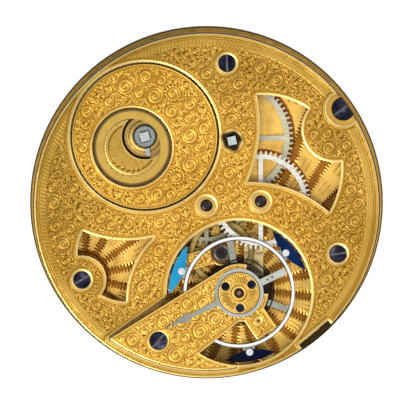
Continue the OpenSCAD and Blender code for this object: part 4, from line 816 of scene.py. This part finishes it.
def wriggle_rays(xs, ys, dist):
    """Lower plate: brown bands with saw teeth on both sides, that fan out from the pillar and the balance."""
    x, y = np.meshgrid(xs, ys)
    cut = np.zeros(dist.shape)
    tooth = 0.43
    left, low = x <= FAN_SPLIT, y <= FAN_SPLIT
    train = ~left & ~low
    clear = np.hypot(x - CENTRE[0], y - CENTRE[1]) > 7
    # centre, rays in a full turn, angle of one ray, where they start, half width there and its growth, place
    fans = (
        (FAN_PILLAR, 15, 12, 2.4, 0.04, 0.026, left),
        (BALANCE, 30, 56, 8.0, 0.04, 0.016, train & clear),
        (BALANCE, 20, 13.4, 2.6, 0.04, 0.03, ~left & low),
    )
    for (cx, cy), count, first, start, least, spread, where in fans:
        r, angle = np.hypot(x - cx, y - cy), np.arctan2(y - cy, x - cx)
        sector = angle * count / TURN - first * count / 360
        off = np.abs(sector - np.round(sector)) * TURN / count * r
        saw = 2 * np.abs(r / tooth - np.round(r / tooth))
        band = np.clip((least + spread * r + 0.48 * saw - off) / 0.07, 0, 1)
        middle = np.abs(sector + 0.5 - np.round(sector + 0.5))
        fine = 0.5 * line(middle - 0.09, 0.035) * (np.sin(1.9 * r + 4 * np.round(sector + 0.5)) > -0.2)
        cut = np.where(where & (r > start), np.maximum(band, fine), cut)
    cut = np.where(dist > 0.1, cut, 0)
    # the cuts' tone, then painted shadow: dark rings on the plate under the rims of the wheels
    tone = 0.8 * cut
    wheel_shadows = (("centre_wheel", CENTRE, 0.85, 0.26), ("third_wheel", THIRD, 0.5, 0.08))
    for node, centre, inner, outer in wheel_shadows:
        reach = np.hypot(x - centre[0], y - centre[1]) - half_width(node)
        ring = np.clip((reach + inner) / 0.12, 0, 1) * np.clip((outer - reach) / 0.12, 0, 1)
        tone = np.maximum(tone, 0.9 * ring * train)
    # painted shade round the pillar's boss and under the hairspring
    for centre, reach in ((FAN_PILLAR, 3.75), (BALANCE, 4.4)):
        tone = np.maximum(tone, 0.9 * np.clip((reach - np.hypot(x - centre[0], y - centre[1])) / 0.15, 0, 1))
    return cut, tone


# Circles that cover the openings in the top plate, and the spacing of the net outside them
WINDOWS = (((-10.5, -6.3), 8), ((8, 4.5), 11.5), (BALANCE, 10.2))
SPARSE = 1.6


def under_windows(x, y):
    """Where the lower plate shows through the top plate; elsewhere a sparse net is enough."""
    sparse = [np.abs(v / SPARSE - np.round(v / SPARSE)) < 0.03 for v in (x, y)]
    shown = sparse[0] & sparse[1]
    for (cx, cy), reach in WINDOWS:
        shown |= np.hypot(x - cx, y - cy) < reach
    return shown


def fade(value):
    """The value, held between nought and one."""
    return min(max(value, 0), 1)


def polar(x, y, centre):
    """Distance and angle of a point from a centre."""
    return math.hypot(x - centre[0], y - centre[1]), math.atan2(y - centre[1], x - centre[0])


def walls(level, dark, centre=(0, 0), rim=None, floor=-math.inf):
    """Painted shade on the walls below an engraved face and beyond a rim, and dirt round the setting square.

    There is little of it below the height of floor."""
    def shade_and_dirt(x, y, z):
        if rim and polar(x, y, centre)[0] > rim:
            return 0.96
        near, turn = polar(x, y, CENTRE)
        ragged = 1.62 + 0.12 * math.sin(5 * turn + 1) + 0.14 * math.sin(3 * turn - 0.4)
        if z < floor:
            return 0.15
        return max(0.95 * fade((ragged - near) / 0.5), dark * fade((level - 0.24 - z) / 0.2))
    return shade_and_dirt


plate_walls = walls(PLATE_TOP, 0.7, rim=PLATE_RIM_R)


def plate_shade_and_dirt(x, y, z):
    """Painted shade on the top plate's walls, beyond its rim and on its bevel along the cock, and dirt round
    the setting square.
    """
    (ax, ay), (bx, by) = COCK_GAP
    run = math.hypot(bx - ax, by - ay)
    off = ((bx - ax) * (y - ay) - (by - ay) * (x - ax)) / run
    if ax < x < bx and abs(off) < 0.4 and z < PLATE_TOP - 0.01:
        return 0.8
    return plate_walls(x, y, z)


def under_balance(x, y):
    """Shade under the hairspring, and beyond the balance ring, where it is deepest at the lower left."""
    away, angle = polar(x, y, BALANCE)
    low = fade(4 * (math.cos(angle - math.radians(240)) - 0.45))
    high = fade(4 * (math.cos(angle - math.radians(130)) - 0.6))
    beyond = (0.18 + 0.52 * low + 0.3 * high) * fade((away - 7.2) / 0.5) * fade((10.6 - away) / 0.4)
    return max(0.82 * fade((4.7 - away) / 0.2), beyond)


def lower_plate_shade(x, y, z):
    """Painted shade on the lower plate: round the balance, on the flange, and most under the top plate's
    notch.
    """
    if math.hypot(x, y) < FLANGE_R:
        return under_balance(x, y) if z > LOWER_TOP - 0.3 else 0.0
    if z < FLANGE_LOW:
        return 0.0
    angle = math.degrees(math.atan2(y, x))
    if abs(angle - NOTCH_ANGLE) < NOTCH_HALF_ANGLE:
        return 0.97
    return 0.2 + 0.16 * math.cos(math.radians(angle - 130))


engrave("top_plate", PLATE_TOP, scrollwork(7, 0.62, SIZES, (20.95, 21.65)), PLATE_GOLD, "frame",
        shade_and_dirt=plate_shade_and_dirt)
engrave("barrel_lid", PLATE_TOP, scrollwork(11, 0.45, SIZES), GOLD, "barrel", edge=0.16, drop=0.035,
        shade_and_dirt=walls(PLATE_TOP, 0.9, BARREL, LID_R - 0.12, floor=STOP_FLOOR + 0.05))
engrave("balance_cock", COCK_TOP, scrollwork(23, 0.4, SIZES[2:]), COCK_GOLD, "frame",
        edge=0.14, drop=0.035, shade_and_dirt=walls(COCK_TOP, 0.6))
engrave("escape_bridge", BRIDGE_TOP, scrollwork(31, 0.25, SIZES[5:]), COCK_GOLD, "frame",
        edge=0.14, drop=0.04, shade_and_dirt=walls(BRIDGE_TOP, 0.6))
engrave("stop_crescent", PLATE_TOP, crescent_lines, PALE_GOLD, "barrel", step=0.06, depth=0.08,
        edge=0.16, drop=0.03, shade_and_dirt=walls(PLATE_TOP, 0.9))
engrave("cock_endpiece", ENDPIECE_TOP, hatched_rings, COCK_GOLD, "frame", step=0.05,
        depth=0.06, edge=0.07, drop=0.03, shade_and_dirt=walls(ENDPIECE_TOP, 0.6, BALANCE, ENDPIECE_R - 0.08))
engrave("lower_plate", LOWER_TOP, wriggle_rays, RAY_GOLD, "frame", step=0.09, depth=0.05, edge=0.12,
        drop=0.05, keep=under_windows, shade_and_dirt=lower_plate_shade)


# Small turned pieces, the wings and the springs

def add_piece(name, points, faces, material):
    """A piece from points in millimetres."""
    mesh = bpy.data.meshes.new(name)
    mesh.from_pydata([(x * MM, y * MM, z * MM) for x, y, z in points], [], faces)
    return link_piece(name, mesh, material)


def turned(name, centre, profile, material, body, segments=64, arc=None):
    """A closed profile of (radius, height) pairs in millimetres, turned about an upright axis.

    It makes a ring, or an arc between two angles in degrees."""
    count = len(profile)
    first, last = arc or (0, 360)
    points, faces = [], []
    for i in range(segments + 1 if arc else segments):
        angle = math.radians(first + (last - first) * i / segments)
        c, s = math.cos(angle), math.sin(angle)
        points += [(centre[0] + r * c, centre[1] + r * s, z) for r, z in profile]
    if arc:
        faces = [tuple(range(count)), tuple(segments * count + k for k in reversed(range(count)))]
    for i in range(segments):
        a, b = i * count, (i + 1 if arc else (i + 1) % segments) * count
        for k in range(count):
            n = (k + 1) % count
            faces.append((a + k, b + k, b + n, a + n))
    piece = add_piece(name, points, faces, material)
    for polygon in piece.data.polygons:
        polygon.use_smooth = True
    piece.data.set_sharp_from_angle(angle=math.radians(40))
    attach(piece, body)


def rise(base, profile):
    """A profile whose heights are counted from a base."""
    return [(r, base + z) for r, z in profile]


CAP_JEWEL = [(0.01, -0.42), (0.77, -0.42), (0.77, -0.2), (0.74, -0.17), (0.4, -0.12), (0.01, -0.1)]
turned("third_jewel", THIRD, rise(PLATE_TOP, CAP_JEWEL), DARK_STONE, "frame")
turned("seconds_jewel", SECONDS, rise(PLATE_TOP, CAP_JEWEL), DARK_STONE, "frame")
turned("escape_chaton", ESCAPE, rise(BRIDGE_TOP, [
    (0.84, -0.1), (0.96, -0.1), (0.96, 0.05), (0.91, 0.08), (0.84, 0.05)]),
    SQUARE_STEEL, "frame")
turned("escape_setting", ESCAPE, rise(BRIDGE_TOP, [
    (0.95, -0.2), (1.44, -0.2), (1.44, 0.03), (1.38, 0.05), (0.95, -0.04)]),
    BRONZE, "frame")
# Rings on the pocket's floor round the finger, near black at the collar as painted shade
turned("pocket_rings", BARREL, rise(STOP_FLOOR, [
    (1.0, -0.03), (2.97, -0.03), (2.97, 0.01), (2.72, 0.02), (2.66, 0.1), (2.42, 0.1), (2.36, 0.03),
    (2.2, 0.02), (2.14, 0.06), (1.0, 0.06)]),
    POCKET_BRASS, "barrel")
# A dark ring laid in the gap round the stop ring, as painted shade
turned("recess_gap_shade", STOP_CENTRE, rise(STOP_FLOOR, [
    (RING_R + 0.01, 0.0), (RECESS_R, 0.0), (RECESS_R, 0.12), (RING_R + 0.01, 0.1)]),
    BRONZE, "barrel", 96)
# A black arc along the crescent's inner edge, as painted shade in the pocket
turned("pocket_edge", BARREL, rise(STOP_FLOOR, [
    (2.62, 0.0), (2.97, 0.0), (2.97, 0.06), (2.62, 0.05)]),
    SHADE, "barrel", arc=(75, 286))


def pin_end(name, reach):
    """A riveted end of a curb pin on the regulator's tail."""
    heading = math.radians(CURB_ANGLE)
    spot = (BALANCE[0] + reach * math.cos(heading), BALANCE[1] + reach * math.sin(heading))
    turned(name, spot, rise(REGULATOR_TOP, [
        (0.01, -0.03), (0.13, -0.03), (0.13, 0.01), (0.08, 0.03), (0.01, 0.035)]),
        BRONZE, "regulator_lever", 24)


pin_end("inner_pin_end", 4.1)
pin_end("outer_pin_end", 4.8)

# Balance wings, in millimetres and degrees
WING_ANGLES = (40, 160, 280)
WING_HALF_ANGLE = 21
WING_R = 9.14
WING_INNER_R = 7.72


def wing_blades():
    """Three blued blades on the balance, tapered to their ends, with a tongue under each screw."""
    low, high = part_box("balance_wings")
    steps = 32
    points, faces = [], []
    for middle in WING_ANGLES:
        base = len(points)
        for i in range(steps + 1):
            share = 2 * i / steps - 1
            angle = math.radians(middle + WING_HALF_ANGLE * share)
            c, s = math.cos(angle), math.sin(angle)
            tongue = 0.3 * max(1 - (share / 0.24) ** 2, 0)
            inner = WING_INNER_R - tongue + 1.3 * abs(share) ** 2.4
            ring = ((inner, low.z), (WING_R, low.z), (WING_R, high.z), (inner, high.z))
            points += [(BALANCE[0] + r * c, BALANCE[1] + r * s, z / MM) for r, z in ring]
        faces += [tuple(base + k for k in range(4)), tuple(base + 4 * steps + k for k in (3, 2, 1, 0))]
        for i in range(steps):
            a = base + 4 * i
            faces += [(a + k, a + 4 + k, a + 4 + (k + 1) % 4, a + (k + 1) % 4) for k in range(4)]
    blades = add_piece("wing_blades", points, faces, BLUE_WING)
    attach(blades, "balance")
    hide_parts("balance_wings")


wing_blades()


def hairspring_coil():
    """A flat blued spiral from the stud to the collet."""
    low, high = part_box("hairspring")
    outer, start = polar(*STUD, BALANCE)
    # radii where the winding begins and ends, and half the strip's thickness
    body, inner, half = outer - 0.4, 0.84, 0.08
    # in turns: the end runs free at one radius, eases in, and then winds to the collet
    free, ease, turns = 1 / 3, 0.16, 15
    steps = 72
    total = free + ease + turns
    count = int(total * steps)
    points, shares = [], []
    for i in range(count + 1):
        turned_by = i * total / count
        step_in = fade((turned_by - free) / ease)
        wound = max(turned_by - free - ease, 0) / turns
        r = outer - (outer - body) * step_in * step_in * (3 - 2 * step_in) - (body - inner) * wound
        c, s = math.cos(start + TURN * turned_by), math.sin(start + TURN * turned_by)
        for off, z in ((-half, low.z), (half, low.z), (half, high.z), (-half, high.z)):
            points.append((BALANCE[0] + (r + off) * c, BALANCE[1] + (r + off) * s, z / MM))
            shares.append(turned_by / total)
    faces = [(0, 1, 2, 3), tuple(4 * count + k for k in (3, 2, 1, 0))]
    for i in range(count):
        for k in range(4):
            n = (k + 1) % 4
            faces.append((4 * i + k, 4 * i + 4 + k, 4 * i + 4 + n, 4 * i + n))
    coil = add_piece("hairspring_coil", points, faces, BLUE_SPRING)
    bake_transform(coil)
    np.array(shares, np.float32)
    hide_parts("hairspring")


hairspring_coil()


def click_blade():
    """The click's spring, cut across at even steps between its foot and the tip of its blade."""
    bm = welded("click_spring")
    peak = max(v.co.z for v in bm.verts)
    pin = [v.co for v in bm.verts if peak - v.co.z < ON_LEVEL]
    foot = sum(pin, Vector()) / len(pin)
    foot.z = 0
    tip = max((Vector((v.co.x, v.co.y, 0)) for v in bm.verts), key=lambda p: (p - foot).length)
    bends = 12
    for i in range(2, bends):
        bmesh.ops.bisect_plane(bm, geom=bm.verts[:] + bm.edges[:] + bm.faces[:], plane_no=tip - foot,
                               plane_co=foot.lerp(tip, i / bends))
    blade = link_piece("click_blade", finished(bm, "click_blade"), GREY_STEEL)
    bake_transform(blade)
    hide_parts("click_spring")


click_blade()


# Stage, light and camera, in metres

LIGHT_AIM = Vector((0, 0, 0.005))
FLOOR_GAP = 0.00002
FLOOR_HALF = 1.5


def area_light(name, place, size, power):
    """A round light; places and sizes are in metres."""
    data = bpy.data.lights.new(name, "AREA")
    data.shape = "DISK"
    data.size = size
    data.energy = power
    light = bpy.data.objects.new(name, data)
    light.location = place
    light.rotation_mode = "QUATERNION"
    light.rotation_quaternion = (LIGHT_AIM - Vector(place)).to_track_quat("-Z", "Y")
    scene.collection.objects.link(light)


def make_floor(level):
    """White paper that glows a little, so it stays white round the part."""
    mesh = bpy.data.meshes.new("floor")
    half = FLOOR_HALF
    corners = [(-half, -half, level), (half, -half, level), (half, half, level), (-half, half, level)]
    mesh.from_pydata(corners, [], [(0, 1, 2, 3)])
    floor = bpy.data.objects.new("floor", mesh)
    material, tree, shader = new_material("pale_floor")
    paper = ramp(tree, noise(tree, 60, 3), [(0.3, (0.30, 0.30, 0.30)), (0.7, (0.34, 0.34, 0.34))])
    tree.links.new(paper, shader.inputs["Base Color"])
    shader.inputs["Roughness"].default_value = 0.9
    shader.inputs["Emission Color"].default_value = (1, 1, 1, 1)
    shader.inputs["Emission Strength"].default_value = 0.86
    mesh.materials.append(material)
    scene.collection.objects.link(floor)
    floor.visible_glossy = False
    floor.visible_diffuse = False


def make_world():
    """A studio dome: bright overhead, dim half-way up, light again at the horizon."""
    world = bpy.data.worlds.new("studio")
    scene.world = world
    world.use_nodes = True
    tree = world.node_tree
    tree.nodes.clear()
    out = tree.nodes.new("ShaderNodeOutputWorld")
    back = tree.nodes.new("ShaderNodeBackground")
    coords = tree.nodes.new("ShaderNodeTexCoord")
    split = tree.nodes.new("ShaderNodeSeparateXYZ")
    tree.links.new(coords.outputs["Generated"], split.inputs[0])
    dome = ramp(tree, split.outputs["Z"], [(0.0, (0.9, 0.9, 0.9)), (0.5, (1.2, 1.2, 1.2)),
                                           (0.62, (0.3, 0.3, 0.3)), (0.75, (0.55, 0.55, 0.55)),
                                           (0.96, (0.9, 0.9, 0.9)), (0.99, (1.4, 1.4, 1.4))])
    tree.links.new(dome, back.inputs["Color"])
    back.inputs["Strength"].default_value = 0.76
    tree.links.new(back.outputs[0], out.inputs["Surface"])


make_world()
make_floor(cad_box[0].z - FLOOR_GAP)
area_light("key", (-0.45, -0.5, 1.2), size=0.3, power=7.0)
area_light("fill", (0.6, 0.4, 1.2), size=0.8, power=2.8)

camera_data = bpy.data.cameras.new("camera")
camera_data.type = "ORTHO"
camera_data.ortho_scale = FRAME_WIDTH_PX * PIXEL * MM
camera_data.clip_start = 0.01
camera_data.clip_end = 10
camera = bpy.data.objects.new("camera", camera_data)
aim = Vector(CAMERA_AIM) * MM
camera.location = aim + Vector((0, math.sin(CAMERA_TILT), math.cos(CAMERA_TILT))) * CAMERA_DISTANCE
camera.rotation_euler = (-CAMERA_TILT, 0, 0)
scene.collection.objects.link(camera)
scene.camera = camera
scene.view_settings.view_transform = "Standard"
